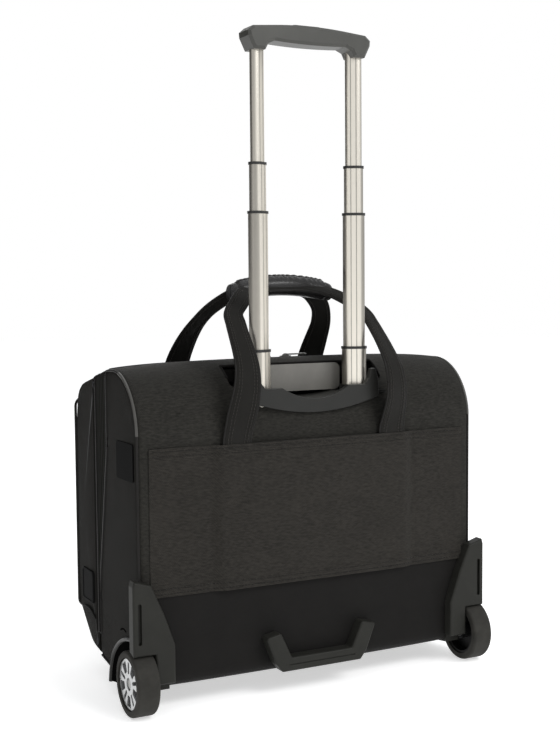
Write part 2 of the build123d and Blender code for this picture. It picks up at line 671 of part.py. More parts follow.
def hollow_out():
    """Leaves only a thin layer just under the case's outer surface."""
    extrude(
        case_section(TAPE_T, FRONT_Y, BACK_Y),
        amount=CASE_HALF_W - TAPE_T,
        both=True,
        mode=Mode.SUBTRACT,
    )


def main_tape(rear, front):
    """One side of the main zipper, between two shifts of its line."""
    with BuildPart() as tape:
        extrude(case_section(0, FRONT_ZIP_Y, BACK_Y, bottom=60.0), amount=CASE_HALF_W, both=True)
        extrude(behind_main_zip(front), amount=2 * CASE_HALF_W, both=True, mode=Mode.INTERSECT)
        extrude(behind_main_zip(rear), amount=2 * CASE_HALF_W, both=True, mode=Mode.SUBTRACT)
        hollow_out()
    return tape


def front_tape(rear, front):
    """One side of the front zipper, between two shifts of its plane."""
    section = case_section(0, FRONT_ZIP_Y + front, FRONT_ZIP_Y + rear, bottom=60.0)
    with BuildPart() as tape:
        extrude(section, amount=CASE_HALF_W, both=True)
        hollow_out()
    return tape


main_zip_rear_tape = main_tape(ZIP_HALF_GAP, TAPE_GAP / 2)
main_zip_rear_tape.part.label = "main_zip_rear_tape"
export_step(main_zip_rear_tape.part, "parts/main_zip_rear_tape.step")

main_front_tape = main_tape(-TAPE_GAP / 2, -ZIP_HALF_GAP)
front_rear_tape = front_tape(ZIP_HALF_GAP, TAPE_GAP / 2)
with BuildPart() as middle_zip_tapes:
    add(main_front_tape.part)
    add(front_rear_tape.part)
middle_zip_tapes.part.label = "middle_zip_tapes"
export_step(middle_zip_tapes.part, "parts/middle_zip_tapes.step")

front_zip_front_tape = front_tape(-TAPE_GAP / 2, -ZIP_HALF_GAP)
front_zip_front_tape.part.label = "front_zip_front_tape"
export_step(front_zip_front_tape.part, "parts/front_zip_front_tape.step")

# Zipper sliders, each with a hanging pull, on the straight run over the top.
SLIDER_L = 14.0
SLIDER_SPOTS = {
    "main_slider_right": (14.0, MAIN_ZIP_Y),
    "main_slider_left": (-14.0, MAIN_ZIP_Y),
    "front_slider_right": (14.0, FRONT_ZIP_Y),
    "front_slider_left": (-14.0, FRONT_ZIP_Y),
}


def top_of_case(depth_y):
    """Height of the case's top surface at one depth."""
    strip = case_section(0, depth_y - 0.05, depth_y + 0.05, bottom=200.0)
    return strip.bounding_box().max.Z


for slider_name, (slider_x, slider_y) in SLIDER_SPOTS.items():
    outward = 1 if slider_x > 0 else -1
    base_z = max(top_of_case(slider_y + 4.5), top_of_case(slider_y)) + 0.7
    with BuildPart() as slider:
        with BuildSketch(Plane.XY.offset(base_z)):
            with Locations((slider_x, slider_y)):
                RectangleRounded(SLIDER_L, 8.0, 2.5)
        extrude(amount=2.2)
        with BuildSketch(Plane.XZ.offset(-(slider_y + 1.2))):
            with BuildLine():
                Line((slider_x - 4.5, base_z + 2.0), (slider_x + 4.5, base_z + 2.0))
                ThreePointArc(
                    (slider_x + 4.5, base_z + 2.0),
                    (slider_x, base_z + 5.0),
                    (slider_x - 4.5, base_z + 2.0),
                )
            make_face()
        extrude(amount=2.4)
        with BuildSketch(Plane.XY.offset(base_z + 3.0)):
            with Locations((slider_x + outward * 15.0, slider_y)):
                SlotOverall(28.0, 7.0)
                with Locations((outward * 9.5, 0)):
                    Circle(1.7, mode=Mode.SUBTRACT)
        extrude(amount=1.6)
    slider.part.label = slider_name
    export_step(slider.part, f"parts/{slider_name}.step")

# ================================================================ middle section
# Wedge of gusset between the two zippers, closed in front by a divider.
DIVIDER_Y = FRONT_ZIP_Y + ZIP_HALF_GAP
DIVIDER_T = 2.0
with BuildPart() as middle_section:
    extrude(
        case_section(0, FRONT_ZIP_Y + ZIP_HALF_GAP, BACK_Y, bottom=MIDDLE_BOTTOM_Z),
        amount=CASE_HALF_W,
        both=True,
    )
    extrude(
        behind_main_zip(-ZIP_HALF_GAP), amount=2 * CASE_HALF_W, both=True, mode=Mode.SUBTRACT
    )
    extrude(
        case_section(WALL, DIVIDER_Y + DIVIDER_T, BACK_Y, bottom=MIDDLE_BOTTOM_Z + WALL),
        amount=CASE_HALF_W - WALL,
        both=True,
        mode=Mode.SUBTRACT,
    )
middle_section.part.label = "middle_section"
export_step(middle_section.part, "parts/middle_section.step")

# Organiser: flat pocket inside the front compartment.
with BuildPart() as organiser_pocket:
    with BuildSketch(Plane.XY.offset(60.0)):
        with Locations((0, DIVIDER_Y - 8.0)):
            Rectangle(360.0, 16.0)
    extrude(amount=180.0)
    offset(amount=-2.0, openings=organiser_pocket.faces().sort_by(Axis.Z)[-1])
organiser_pocket.part.label = "organiser_pocket"
export_step(organiser_pocket.part, "parts/organiser_pocket.step")

# ================================================================ front shell
with BuildPart() as front_shell:
    extrude(
        case_section(0, FRONT_Y - 5, FRONT_ZIP_Y - ZIP_HALF_GAP),
        amount=CASE_HALF_W,
        both=True,
    )
    extrude(
        case_section(WALL, FRONT_Y - 5, FRONT_ZIP_Y + 1),
        amount=CASE_HALF_W - WALL,
        both=True,
        mode=Mode.SUBTRACT,
    )
front_shell.part.label = "front_shell"
export_step(front_shell.part, "parts/front_shell.step")

# Strap anchors: the sewn-down foot of each carry strap.
with BuildPart() as front_strap_anchors:
    for side in (1, -1):
        strip = case_section(-2.5, FRONT_Y - 5, FRONT_HINGE[0], bottom=258.0)
        extrude(strip.moved(Location((side * STRAP_X, 0, 0))), amount=STRAP_W / 2, both=True)
    extrude(case_section(0, FRONT_Y - 9, BACK_Y), amount=CASE_HALF_W, both=True, mode=Mode.SUBTRACT)
front_strap_anchors.part.label = "front_strap_anchors"
export_step(front_strap_anchors.part, "parts/front_strap_anchors.step")

with BuildPart() as rear_strap_anchors:
    for side in (1, -1):
        with BuildSketch(Plane.YZ.offset(side * STRAP_X)):
            with BuildLine():
                Polyline(
                    (SHELL_BACK_Y, BAND_TOP_Z + 0.2), (SHELL_BACK_Y + 3.2, BAND_TOP_Z + 0.2),
                    (REAR_HINGE[0] + STRAP_T / 2, REAR_HINGE[1] - 0.5),
                    (REAR_HINGE[0] - STRAP_T / 2, REAR_HINGE[1] - 0.5), close=True,
                )
            make_face()
        extrude(amount=STRAP_W / 2, both=True)
    add(handle_housing.part, mode=Mode.SUBTRACT)
    add(rear_shell.part, mode=Mode.SUBTRACT)
    add(back_sleeve_band.part, mode=Mode.SUBTRACT)
rear_strap_anchors.part.label = "rear_strap_anchors"
export_step(rear_strap_anchors.part, "parts/rear_strap_anchors.step")

# ================================================================ carry handles
BAR_SHIFT = 8.5                     # each bar's centre from the meeting plane


def carry_straps(hinge, bar_y):
    """Flat arched loop that leans from its hinge line up to the grip."""
    lean = atan2(bar_y - hinge[0], CARRY_Z - hinge[1])
    length = (CARRY_Z - hinge[1]) / cos(lean)
    up = Vector(0, sin(lean), cos(lean))
    arch_plane = Plane(
        origin=(0, hinge[0], hinge[1]), x_dir=(1, 0, 0), z_dir=Vector(1, 0, 0).cross(up)
    )
    outer_x = STRAP_X + STRAP_W / 2
    inner_x = STRAP_X - STRAP_W / 2
    top = length + BAR_W / 2
    with BuildPart() as straps:
        with BuildSketch(arch_plane):
            with BuildLine():
                FilletPolyline(
                    (outer_x, 1.5), (outer_x, top - 42), (outer_x - 36, top), (36 - outer_x, top),
                    (-outer_x, top - 42), (-outer_x, 1.5), (-inner_x, 1.5),
                    (-inner_x, top - 42), (30 - inner_x, top - BAR_W),
                    (inner_x - 30, top - BAR_W), (inner_x, top - 42), (inner_x, 1.5),
                    radius=[1.5, 40, 40, 40, 40, 1.5, 1.5, 30, 30, 30, 30, 1.5],
                    close=True,
                )
            make_face()
        extrude(amount=STRAP_T / 2, both=True)
    return straps


def grip_half(straps, side):
    """Half of the round leather grip; side is +1 behind and -1 in front."""
    with BuildPart() as wrap:
        with BuildSketch(Plane.YZ):
            with Locations((CARRY_Y, CARRY_Z)):
                Ellipse(WRAP_DEPTH, WRAP_HALF_H)
                with Locations((-side * (WRAP_DEPTH - WRAP_GAP / 2), 0)):
                    Rectangle(2 * WRAP_DEPTH, 60, mode=Mode.SUBTRACT)
        extrude(amount=WRAP_HALF_L, both=True)
        add(straps.part, mode=Mode.SUBTRACT)
    return wrap


front_handle_straps = carry_straps(FRONT_HINGE, CARRY_Y - BAR_SHIFT)
front_handle_straps.part.label = "front_handle_straps"
export_step(front_handle_straps.part, "parts/front_handle_straps.step")

front_grip_wrap = grip_half(front_handle_straps, -1)
front_grip_wrap.part.label = "front_grip_wrap"
export_step(front_grip_wrap.part, "parts/front_grip_wrap.step")

rear_handle_straps = carry_straps(REAR_HINGE, CARRY_Y + BAR_SHIFT)
rear_handle_straps.part.label = "rear_handle_straps"
export_step(rear_handle_straps.part, "parts/rear_handle_straps.step")

rear_grip_wrap = grip_half(rear_handle_straps, 1)
rear_grip_wrap.part.label = "rear_grip_wrap"
export_step(rear_grip_wrap.part, "parts/rear_grip_wrap.step")
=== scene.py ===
"""Rolling laptop case: fabric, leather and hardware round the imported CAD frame.

Lengths in the builders are millimetres in the row frame; meshes are stored in metres.
"""
import fnmatch
import math

import bmesh
import bpy
from mathutils import Matrix, Vector


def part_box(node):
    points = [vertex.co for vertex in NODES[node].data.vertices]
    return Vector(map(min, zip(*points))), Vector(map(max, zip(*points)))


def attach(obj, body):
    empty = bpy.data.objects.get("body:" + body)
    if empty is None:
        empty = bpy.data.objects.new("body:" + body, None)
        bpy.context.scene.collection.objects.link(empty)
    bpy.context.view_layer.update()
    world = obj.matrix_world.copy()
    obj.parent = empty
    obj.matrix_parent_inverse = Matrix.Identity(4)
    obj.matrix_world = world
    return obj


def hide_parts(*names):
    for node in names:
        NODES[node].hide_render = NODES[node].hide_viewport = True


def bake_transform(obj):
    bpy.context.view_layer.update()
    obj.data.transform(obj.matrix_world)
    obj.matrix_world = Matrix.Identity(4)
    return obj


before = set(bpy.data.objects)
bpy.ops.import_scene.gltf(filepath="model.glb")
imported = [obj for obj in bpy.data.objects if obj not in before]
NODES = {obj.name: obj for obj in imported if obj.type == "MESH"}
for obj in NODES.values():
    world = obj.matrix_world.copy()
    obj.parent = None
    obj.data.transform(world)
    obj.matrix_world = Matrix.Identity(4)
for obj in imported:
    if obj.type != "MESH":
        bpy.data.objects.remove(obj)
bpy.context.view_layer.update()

MM = 0.001
UP = Vector((0, 0, 1))


def corners_mm(node):
    """Lowest and highest corner of a CAD node, in millimetres."""
    low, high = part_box(node)
    return low / MM, high / MM


# ---------------------------------------------------------------- sizes read from the frame
HALF_W, SHELL_Y, _ = corners_mm("rear_shell")[1]
BACK_Y = SHELL_Y + 1.5
_, WHEEL_Y, WHEEL_Z = sum(corners_mm("tyre_right"), Vector()) / 2
band_low, band_high = corners_mm("back_sleeve_band")
FRONT_Y = BACK_Y - 218.0
MAIN_ZIP_Y = BACK_Y - 101.0
MAIN_FOOT_Y = BACK_Y - 132.5
FRONT_ZIP_Y = BACK_Y - 138.3
ZIP_HALF_GAP = 1.5
WALL = 2.6
EDGE_R = 7.0
END_FACING = 0.75
CARRY_Y = BACK_Y - 87.0
CARRY_Z = 471.0
POLE_X = 63.25
POLE_Y = BACK_Y - 18.0
POLE_SLANT = math.radians(30)
POLE_REACH = 16.0
RIM_FACE_X = 226.0

OUTLINE = [
    (SHELL_Y, 26.0), (SHELL_Y, 388.0), (BACK_Y - 95.0, 383.0), (BACK_Y - 206.0, 357.0),
    (FRONT_Y, 290.0), (FRONT_Y, 84.0), (BACK_Y - 166.0, 37.5), (BACK_Y - 104.0, 28.0),
]
OUTLINE_R = [13.0, 74.0, 80.0, 32.0, 50.0, 35.0, 40.0, 60.0]


# ================================================================ materials
class Graph:
    """Node tree of one material, with short helpers for sockets and maths."""

    def __init__(self, name):
        self.material = bpy.data.materials.new(name)
        self.material.use_nodes = True
        self.tree = self.material.node_tree
        self.shader = self.tree.nodes["Principled BSDF"]
        coords = self.node("ShaderNodeTexCoord")
        scale = self.node("ShaderNodeVectorMath", operation="SCALE")
        scale.inputs["Scale"].default_value = 1 / MM
        self.wire(coords.outputs["Object"], scale.inputs[0])
        self.mm = scale.outputs[0]
        split = self.node("ShaderNodeSeparateXYZ")
        self.wire(self.mm, split.inputs[0])
        self.x, self.y, self.z = split.outputs

    def node(self, kind, **settings):
        made = self.tree.nodes.new(kind)
        for key, value in settings.items():
            setattr(made, key, value)
        return made

    def wire(self, source, target):
        if isinstance(source, (int, float)):
            target.default_value = source
        else:
            self.tree.links.new(source, target)

    def maths(self, operation, first, second=0.0, third=0.0):
        made = self.node("ShaderNodeMath", operation=operation)
        for socket, value in zip(made.inputs, (first, second, third)):
            self.wire(value, socket)
        return made.outputs[0]

    def wave(self, value, pitch):
        """Sine wave along a value in mm."""
        return self.maths("SINE", self.maths("MULTIPLY", value, 2 * math.pi / pitch))

    def noise(self, size, detail=3.0, roughness=0.55, stretch=(1, 1, 1)):
        """Noise whose blobs are about size mm across."""
        place = self.mm
        if stretch != (1, 1, 1):
            mapping = self.node("ShaderNodeMapping")
            mapping.inputs["Scale"].default_value = stretch
            self.wire(self.mm, mapping.inputs[0])
            place = mapping.outputs[0]
        made = self.node("ShaderNodeTexNoise")
        made.inputs["Scale"].default_value = 1 / size
        made.inputs["Detail"].default_value = detail
        made.inputs["Roughness"].default_value = roughness
        self.wire(place, made.inputs["Vector"])
        return made.outputs["Fac"]

    def voronoi(self, size, feature="F1"):
        made = self.node("ShaderNodeTexVoronoi", feature=feature)
        made.inputs["Scale"].default_value = 1 / size
        self.wire(self.mm, made.inputs["Vector"])
        return made.outputs["Distance"]

    def ramp(self, factor, stops):
        """Colour ramp; stops are (position, (r, g, b))."""
        made = self.node("ShaderNodeValToRGB")
        elements = made.color_ramp.elements
        while len(elements) < len(stops):
            elements.new(0.5)
        for element, (position, colour) in zip(elements, stops):
            element.position = position
            element.color = (*colour, 1)
        self.wire(factor, made.inputs["Fac"])
        return made.outputs["Color"]

    def spread(self, factor, low, high):
        """Maps 0..1 to low..high."""
        made = self.node("ShaderNodeMapRange")
        made.inputs["To Min"].default_value = low
        made.inputs["To Max"].default_value = high
        self.wire(factor, made.inputs["Value"])
        return made.outputs["Result"]

    def bump(self, height, depth_mm, strength=1.0):
        made = self.node("ShaderNodeBump")
        made.inputs["Strength"].default_value = strength
        made.inputs["Distance"].default_value = depth_mm * MM
        self.wire(height, made.inputs["Height"])
        if self.shader.inputs["Normal"].is_linked:
            self.wire(self.shader.inputs["Normal"].links[0].from_socket, made.inputs["Normal"])
        self.wire(made.outputs["Normal"], self.shader.inputs["Normal"])

    def set(self, **values):
        names = {
            "metal": "Metallic", "rough": "Roughness", "sheen": "Sheen Weight",
            "sheen_rough": "Sheen Roughness", "coat": "Coat Weight",
            "coat_rough": "Coat Roughness", "spec": "Specular IOR Level",
            "aniso": "Anisotropic", "glow": "Emission Strength",
        }
        for key, value in values.items():
            self.wire(value, self.shader.inputs[names[key]])

    def colour(self, socket):
        self.wire(socket, self.shader.inputs["Base Color"])


def linear(*srgb):
    """sRGB 0..255 to linear."""
    return tuple(
        (c / 255 / 12.92) if c / 255 < 0.04045 else ((c / 255 + 0.055) / 1.055) ** 2.4
        for c in srgb
    )


def tinted(colour, factor):
    return tuple(c * factor for c in colour)


def woven(name, srgb, rib, thread, along, sheen, depth, contrast=0.45, spec=0.08):
    """Ribbed woven fabric: the pitches of rib and thread in mm, and the ribs' direction."""
    g = Graph(name)
    phase = g.y
    if along != "flat":
        phase = g.maths("SUBTRACT" if along == "rear" else "ADD", g.z, g.y)
    wobble = g.maths("MULTIPLY", g.noise(14.0), 0.8)
    ribs = g.wave(g.maths("ADD", phase, wobble), rib)
    cross = g.wave(g.maths("ADD", g.x, wobble), thread)
    weave = g.maths("MULTIPLY", cross, g.wave(phase, 2 * rib))
    height = g.maths("MULTIPLY_ADD", ribs, 0.3, g.maths("MULTIPLY_ADD", weave, 0.22, 0.5))
    fuzz = g.noise(0.5, 2.0)
    height = g.maths("MULTIPLY_ADD", fuzz, 0.25, height)
    cloud = g.noise(55.0, 4.0)
    fleck = g.noise(1.7, 2.0, 0.6, (0.3, 1, 1))
    shade = g.maths("MULTIPLY_ADD", cloud, 0.3, g.maths("MULTIPLY", height, contrast * 0.6))
    shade = g.maths("MULTIPLY_ADD", g.maths("SUBTRACT", fleck, 0.5), 1.2, shade)
    base = linear(*srgb)
    g.colour(g.ramp(shade, [(0.1, tinted(base, 0.45)), (0.8, tinted(base, 1.6))]))
    g.set(rough=g.spread(fuzz, 0.54, 0.72), sheen=sheen, sheen_rough=0.45, spec=spec)
    g.bump(height, depth)
    g.bump(g.noise(38.0, 2.0), 1.2, 0.35)
    return g.material


def plain_cloth(name, srgb, thread=0.7, sheen=0.3, spec=0.08):
    """Fine smooth woven fabric with soft rumples."""
    g = Graph(name)
    rows = g.wave(g.maths("ADD", g.z, g.y), thread)
    lines = g.wave(g.maths("ADD", g.x, g.y), thread)
    height = g.maths("MULTIPLY_ADD", g.maths("MULTIPLY", rows, lines), 0.35, g.noise(0.8, 2.0))
    base = linear(*srgb)
    shade = g.maths("MULTIPLY_ADD", g.noise(45.0, 4.0), 0.6, g.maths("MULTIPLY", height, 0.3))
    g.colour(g.ramp(shade, [(0.2, tinted(base, 0.75)), (0.85, tinted(base, 1.3))]))
    g.set(rough=g.spread(g.noise(3.0), 0.54, 0.68), sheen=sheen, sheen_rough=0.4, spec=spec)
    g.bump(height, 0.1)
    g.bump(g.noise(30.0, 2.0), 1.6, 0.4)
    return g.material


def grain_plastic(name, srgb, rough=0.42, grain=0.9, coat=0.0, spec=0.5):
    """Moulded plastic with a fine spark-eroded grain and tone that varies at random."""
    g = Graph(name)
    fine = g.noise(grain, 2.0, 0.7)
    large = g.noise(26.0, 3.0)
    base = linear(*srgb)
    shade = g.maths("MULTIPLY_ADD", fine, 0.25, g.maths("MULTIPLY", large, 0.75))
    g.colour(g.ramp(shade, [(0.25, tinted(base, 0.84)), (0.75, tinted(base, 1.18))]))
    g.set(rough=g.spread(shade, rough - 0.07, rough + 0.1), coat=coat, coat_rough=0.2, spec=spec)
    g.bump(fine, 0.05)
    return g.material


def metal(name, srgb, rough=0.3, stretch=(1, 1, 0.04)):
    """Brushed or anodised metal with fine streaks."""
    g = Graph(name)
    streaks = g.noise(0.5, 3.0, 0.6, stretch)
    base = linear(*srgb)
    g.colour(g.ramp(streaks, [(0.3, tinted(base, 0.88)), (0.7, tinted(base, 1.06))]))
    g.set(metal=1.0, spec=0.0, rough=g.spread(streaks, rough - 0.06, rough + 0.08))
    g.bump(streaks, 0.012)
    return g.material


def tube_metal():
    """Pale anodised poles with fine streaks, and painted shade: a dark groove line beside each flat
    and darker rounded sides.
    """
    g = Graph("tube_metal")
    streaks = g.noise(0.5, 3.0, 0.6, (1, 1, 0.04))
    out = g.maths("SUBTRACT", g.maths("ABSOLUTE", g.x), POLE_X)
    back = g.maths("SUBTRACT", g.y, POLE_Y)
    across = g.maths("MULTIPLY_ADD", out, math.cos(POLE_SLANT),
                     g.maths("MULTIPLY", back, math.sin(POLE_SLANT)))
    place = g.maths("MULTIPLY_ADD", streaks, 0.6, g.maths("ABSOLUTE", across))
    base = linear(244, 238, 226)
    # Painted shade: the dip at 3.2 to 3.8 mm out is a groove's shade, and the fall from 8.2 mm out is
    # shade on the rounded sides.
    stops = [(0.0, 1.0), (2.7, 0.98), (3.2, 0.42), (3.8, 0.42), (4.3, 0.98), (8.2, 0.9),
             (9.8, 0.5), (POLE_REACH, 0.32)]
    g.colour(g.ramp(g.maths("DIVIDE", place, POLE_REACH),
                    [(mm / POLE_REACH, tinted(base, k)) for mm, k in stops]))
    g.set(metal=1.0, spec=0.0, rough=g.spread(streaks, 0.28, 0.42), aniso=0.3)
    g.bump(streaks, 0.012)
    return g.material


def rim_material():
    """Silver on the rim's outer face and bare dark plastic on its inner side."""
    g = Graph("rim_silver")
    outside = g.maths("GREATER_THAN", g.maths("ABSOLUTE", g.x), RIM_FACE_X)
    silver, dark = linear(202, 203, 203), linear(24, 24, 24)
    g.colour(g.ramp(outside, [(0.0, dark), (1.0, silver)]))
    g.set(metal=g.spread(outside, 0.0, 0.85), rough=g.spread(g.noise(0.8), 0.3, 0.4), spec=0.1)
    return g.material


def leather_material():
    g = Graph("leather")
    cells = g.voronoi(1.5, "DISTANCE_TO_EDGE")
    pores = g.noise(0.6, 3.0)
    height = g.maths("ADD", g.maths("MINIMUM", g.maths("MULTIPLY", cells, 3.0), 0.55),
                     g.maths("MULTIPLY", pores, 0.3))
    base = linear(19, 18, 18)
    g.colour(g.ramp(g.noise(12.0, 4.0), [(0.3, tinted(base, 0.8)), (0.75, tinted(base, 1.6))]))
    g.set(rough=g.spread(height, 0.45, 0.26), coat=0.2, coat_rough=0.2, spec=0.3)
    g.bump(height, 0.16)
    g.bump(g.noise(7.0, 2.0), 0.8, 0.5)
    return g.material


def tyre_material():
    g = Graph("tyre_rubber")
    speckle = g.noise(1.3, 3.0)
    base = linear(46, 45, 42)
    g.colour(g.ramp(g.noise(18.0, 4.0), [(0.3, tinted(base, 0.8)), (0.75, tinted(base, 1.35))]))
    g.set(rough=g.spread(speckle, 0.64, 0.82), spec=0.15)
    g.bump(speckle, 0.08)
    return g.material


def thread_material(name, srgb):
    g = Graph(name)
    diagonal = g.maths("ADD", g.x, g.maths("ADD", g.y, g.z))
    twist = g.maths("SINE", g.maths("MULTIPLY", diagonal, 9.0))
    base = linear(*srgb)
    g.colour(g.ramp(g.maths("MULTIPLY_ADD", twist, 0.25, 0.5),
                    [(0.2, tinted(base, 0.7)), (0.8, tinted(base, 1.3))]))
    g.set(rough=0.55, sheen=0.1, spec=0.08)
    g.bump(twist, 0.05)
    return g.material


REAR_FABRIC = woven("rear_fabric", (37, 36, 33), 1.5, 1.9, "rear", 0.05, 0.4, contrast=0.8)
FRONT_FABRIC = woven("front_fabric", (36, 35, 32), 1.5, 1.9, "front", 0.05, 0.4, contrast=0.8)
BAND_FABRIC = woven("band_fabric", (38, 36, 33), 1.6, 2.1, "rear", 0.05, 0.5, contrast=1.0)
GUSSET_FABRIC = woven("gusset_fabric", (22, 22, 20), 5.0, 1.6, "flat", 0.03, 1.6,
                      contrast=2.2, spec=0.0)
SMOOTH_FABRIC = plain_cloth("smooth_fabric", (27, 26, 25), sheen=0.03, spec=0.04)
LOWER_FABRIC = plain_cloth("lower_fabric", (24, 23, 22), sheen=0.03)
STRAP_FABRIC = plain_cloth("strap_fabric", (30, 29, 27), thread=0.9, sheen=0.05)
LINING = plain_cloth("lining", (62, 62, 64), thread=1.1, sheen=0.2)
PIPING = grain_plastic("piping_vinyl", (36, 35, 34), rough=0.38, grain=0.6, spec=0.06)
# Glossier trim; its lighter colour is a painted highlight.
PIPING_PAINTED_HIGHLIGHT = grain_plastic("piping_painted_highlight", (66, 65, 62), rough=0.32, grain=0.6)
STITCH = thread_material("stitching", (48, 46, 43))
STITCH_DARK = thread_material("dark_stitching", (16, 15, 14))
LEATHER = leather_material()
# Near-black cloth without gloss: painted shade inside the wheel wells and in the slit above them.
WELL_PAINTED_SHADE = plain_cloth("wheel_well", (10, 10, 10), sheen=0.0, spec=0.0)
DARK_PLASTIC = grain_plastic("dark_plastic", (38, 38, 35), rough=0.45, spec=0.13)
BLACK_PLASTIC = grain_plastic("black_plastic", (28, 28, 27), rough=0.38, coat=0.05)
LIP_PLASTIC = grain_plastic("lip_plastic", (30, 30, 28), rough=0.36, spec=0.3)
GREY_PLASTIC = grain_plastic("grey_plastic", (108, 106, 101), rough=0.38)
TAB_RUBBER = grain_plastic("tab_rubber", (14, 14, 14), rough=0.35, spec=0.004)
END_FABRIC = plain_cloth("end_fabric", (31, 30, 28), sheen=0.02, spec=0.02)
TROLLEY_PLASTIC = grain_plastic("trolley_plastic", (56, 56, 52), rough=0.36, spec=0.5)
TYRE_RUBBER = tyre_material()
TUBE_METAL_PAINTED_SHADE = tube_metal()
STEEL = metal("steel", (170, 170, 168), rough=0.32, stretch=(1, 1, 1))
RIM_SILVER = rim_material()
SLIDER_METAL = metal("slider_metal", (150, 150, 147), rough=0.28, stretch=(1, 1, 1))
TAPE_CLOTH = woven("zipper_tape", (26, 26, 25), 1.1, 1.1, "flat", 0.15, 0.12)
COIL = grain_plastic("zipper_coil", (30, 30, 29), rough=0.4, grain=0.5)
PATCH_VINYL = grain_plastic("patch_vinyl", (22, 22, 22), rough=0.45, spec=0.01)
BOARD = grain_plastic("stiff_board", (70, 68, 64), rough=0.7)


# ================================================================ mesh building
# Rings of one stitch: place along its length, share of its width and share of its height.
STITCH_RINGS = [(-0.5, 0.35, 0.0), (-0.3, 1, 0.8), (0.3, 1, 0.8), (0.5, 0.35, 0.0)]


class Shape:
    """Points and faces gathered for one mesh; every face knows its material."""

    def __init__(self):
        self.points, self.faces, self.slots = [], [], []

    def add(self, points, faces, slot=0):
        base = len(self.points)
        self.points += [Vector(p) for p in points]
        self.faces += [[base + i for i in face] for face in faces]
        self.slots += [slot] * len(faces)

    def grid(self, rows, slot=0, loop=False):
        """Quads between rows of equally many points; loop joins each row's ends."""
        n = len(rows[0])
        faces = []
        for r in range(len(rows) - 1):
            for k in range(n if loop else n - 1):
                a, b = r * n + k, r * n + (k + 1) % n
                faces.append([a, b, b + n, a + n])
        self.add([p for row in rows for p in row], faces, slot)

    def fan(self, loop, tip, slot=0):
        """Triangles from a closed loop to one point."""
        n = len(loop)
        self.add([*loop, tip], [[k, (k + 1) % n, n] for k in range(n)], slot)

    def slab(self, outer, inner):
        """Closed sheet between two grids of equally many points."""
        self.grid(outer)
        self.grid([row[::-1] for row in inner])
        self.grid([outer[0], inner[0]])
        self.grid([inner[-1], outer[-1]])
        for k in (0, -1):
            self.grid([[row[k] for row in outer], [row[k] for row in inner]])

    def tube(self, path, radius, slot=0, sides=8, closed=False, flat=1.0):
        """Round cord along a path; flat below 1 presses it towards the surface."""
        rows = []
        for p, tangent in with_tangents(path, closed):
            side = tangent.cross(UP)
            if side.length < 0.05:
                side = tangent.cross(Vector((0, 1, 0)))
            side.normalize()
            up = side.cross(tangent).normalized()
            rows.append([
                p + side * (radius * math.cos(a)) + up * (radius * flat * math.sin(a))
                for a in (2 * math.pi * k / sides for k in range(sides))
            ])
        if closed:
            rows.append(rows[0])
        start = len(self.points)
        self.grid(rows, slot, loop=True)
        if not closed:
            last = start + (len(rows) - 1) * sides
            self.faces.append([start + k for k in range(sides)][::-1])
            self.faces.append([last + k for k in range(sides)])
            self.slots += [slot, slot]

    def stitches(self, path, normals, slot=0, length=2.9, pitch=3.9, width=0.75, height=0.55):
        """Row of short sewn stitches lying on a surface."""
        for p, tangent, normal in spaced(path, normals, pitch):
            side = tangent.cross(normal).normalized()
            ring = []
            for along, w, h in STITCH_RINGS:
                c = p + tangent * (along * length)
                ring.append([
                    c + side * (-w * width / 2) - normal * 0.25,
                    c + side * (-w * width / 3) + normal * (h * height),
                    c + side * (w * width / 3) + normal * (h * height),
                    c + side * (w * width / 2) - normal * 0.25,
                ])
            start = len(self.points)
            self.grid(ring, slot, loop=True)
            self.faces += [[start + k for k in (3, 2, 1, 0)], [start + 12 + k for k in range(4)]]
            self.slots += [slot, slot]

    def build(self, name, materials, body=None, merge=0.02, angle=40):
        mesh = bpy.data.meshes.new(name)
        mesh.from_pydata([p * MM for p in self.points], [], self.faces)
        for material in materials:
            mesh.materials.append(material)
        mesh.polygons.foreach_set("material_index", self.slots)
        edit = bmesh.new()
        edit.from_mesh(mesh)
        bmesh.ops.remove_doubles(edit, verts=edit.verts, dist=merge * MM)
        bmesh.ops.recalc_face_normals(edit, faces=edit.faces)
        edit.to_mesh(mesh)
        edit.free()
        smooth(mesh, angle)
        made = bpy.data.objects.new(name, mesh)
        bpy.context.scene.collection.objects.link(made)
        if body:
            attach(made, body)
        return made


def smooth(mesh, angle=40):
    mesh.polygons.foreach_set("use_smooth", [True] * len(mesh.polygons))
    mesh.set_sharp_from_angle(angle=math.radians(angle))
    mesh.update()


def with_tangents(path, closed=False):
    path = [Vector(p) for p in path]
    n = len(path)
    for i, p in enumerate(path):
        before = path[i - 1] if i or closed else p
        after = path[(i + 1) % n] if i < n - 1 or closed else p
        yield p, (after - before).normalized()


def spaced(path, normals, pitch):
    """Points every pitch mm along a path, with the tangent and normal there."""
    path = [Vector(p) for p in path]
    carried = pitch / 2
    for i in range(len(path) - 1):
        run = path[i + 1] - path[i]
        length = run.length
        if length < 1e-6:
            continue
        while carried < length:
            t = carried / length
            normal = normals[i].lerp(normals[i + 1], t).normalized()
            yield path[i].lerp(path[i + 1], t), run / length, normal
            carried += pitch
        carried -= length


def smoothstep(low, high, value):
    t = min(1.0, max(0.0, (value - low) / (high - low)))
    return t * t * (3 - 2 * t)


def catmull(points, per_run=10):
    """Smooth curve through the points."""
    points = [Vector(p) for p in points]
    ends = [2 * points[0] - points[1], *points, 2 * points[-1] - points[-2]]
    out = []
    for i in range(1, len(ends) - 2):
        a, b, c, d = ends[i - 1 : i + 3]
        for k in range(per_run):
            t = k / per_run
            out.append(0.5 * ((2 * b) + (c - a) * t + (2 * a - 5 * b + 4 * c - d) * t ** 2
                              + (3 * b - a - 3 * c + d) * t ** 3))
    return out + [points[-1]]


def applied(obj):
    """Replaces an object's mesh by the result of its modifiers."""
    graph = bpy.context.evaluated_depsgraph_get()
    result = bpy.data.meshes.new_from_object(obj.evaluated_get(graph))
    obj.modifiers.clear()
    obj.data = result


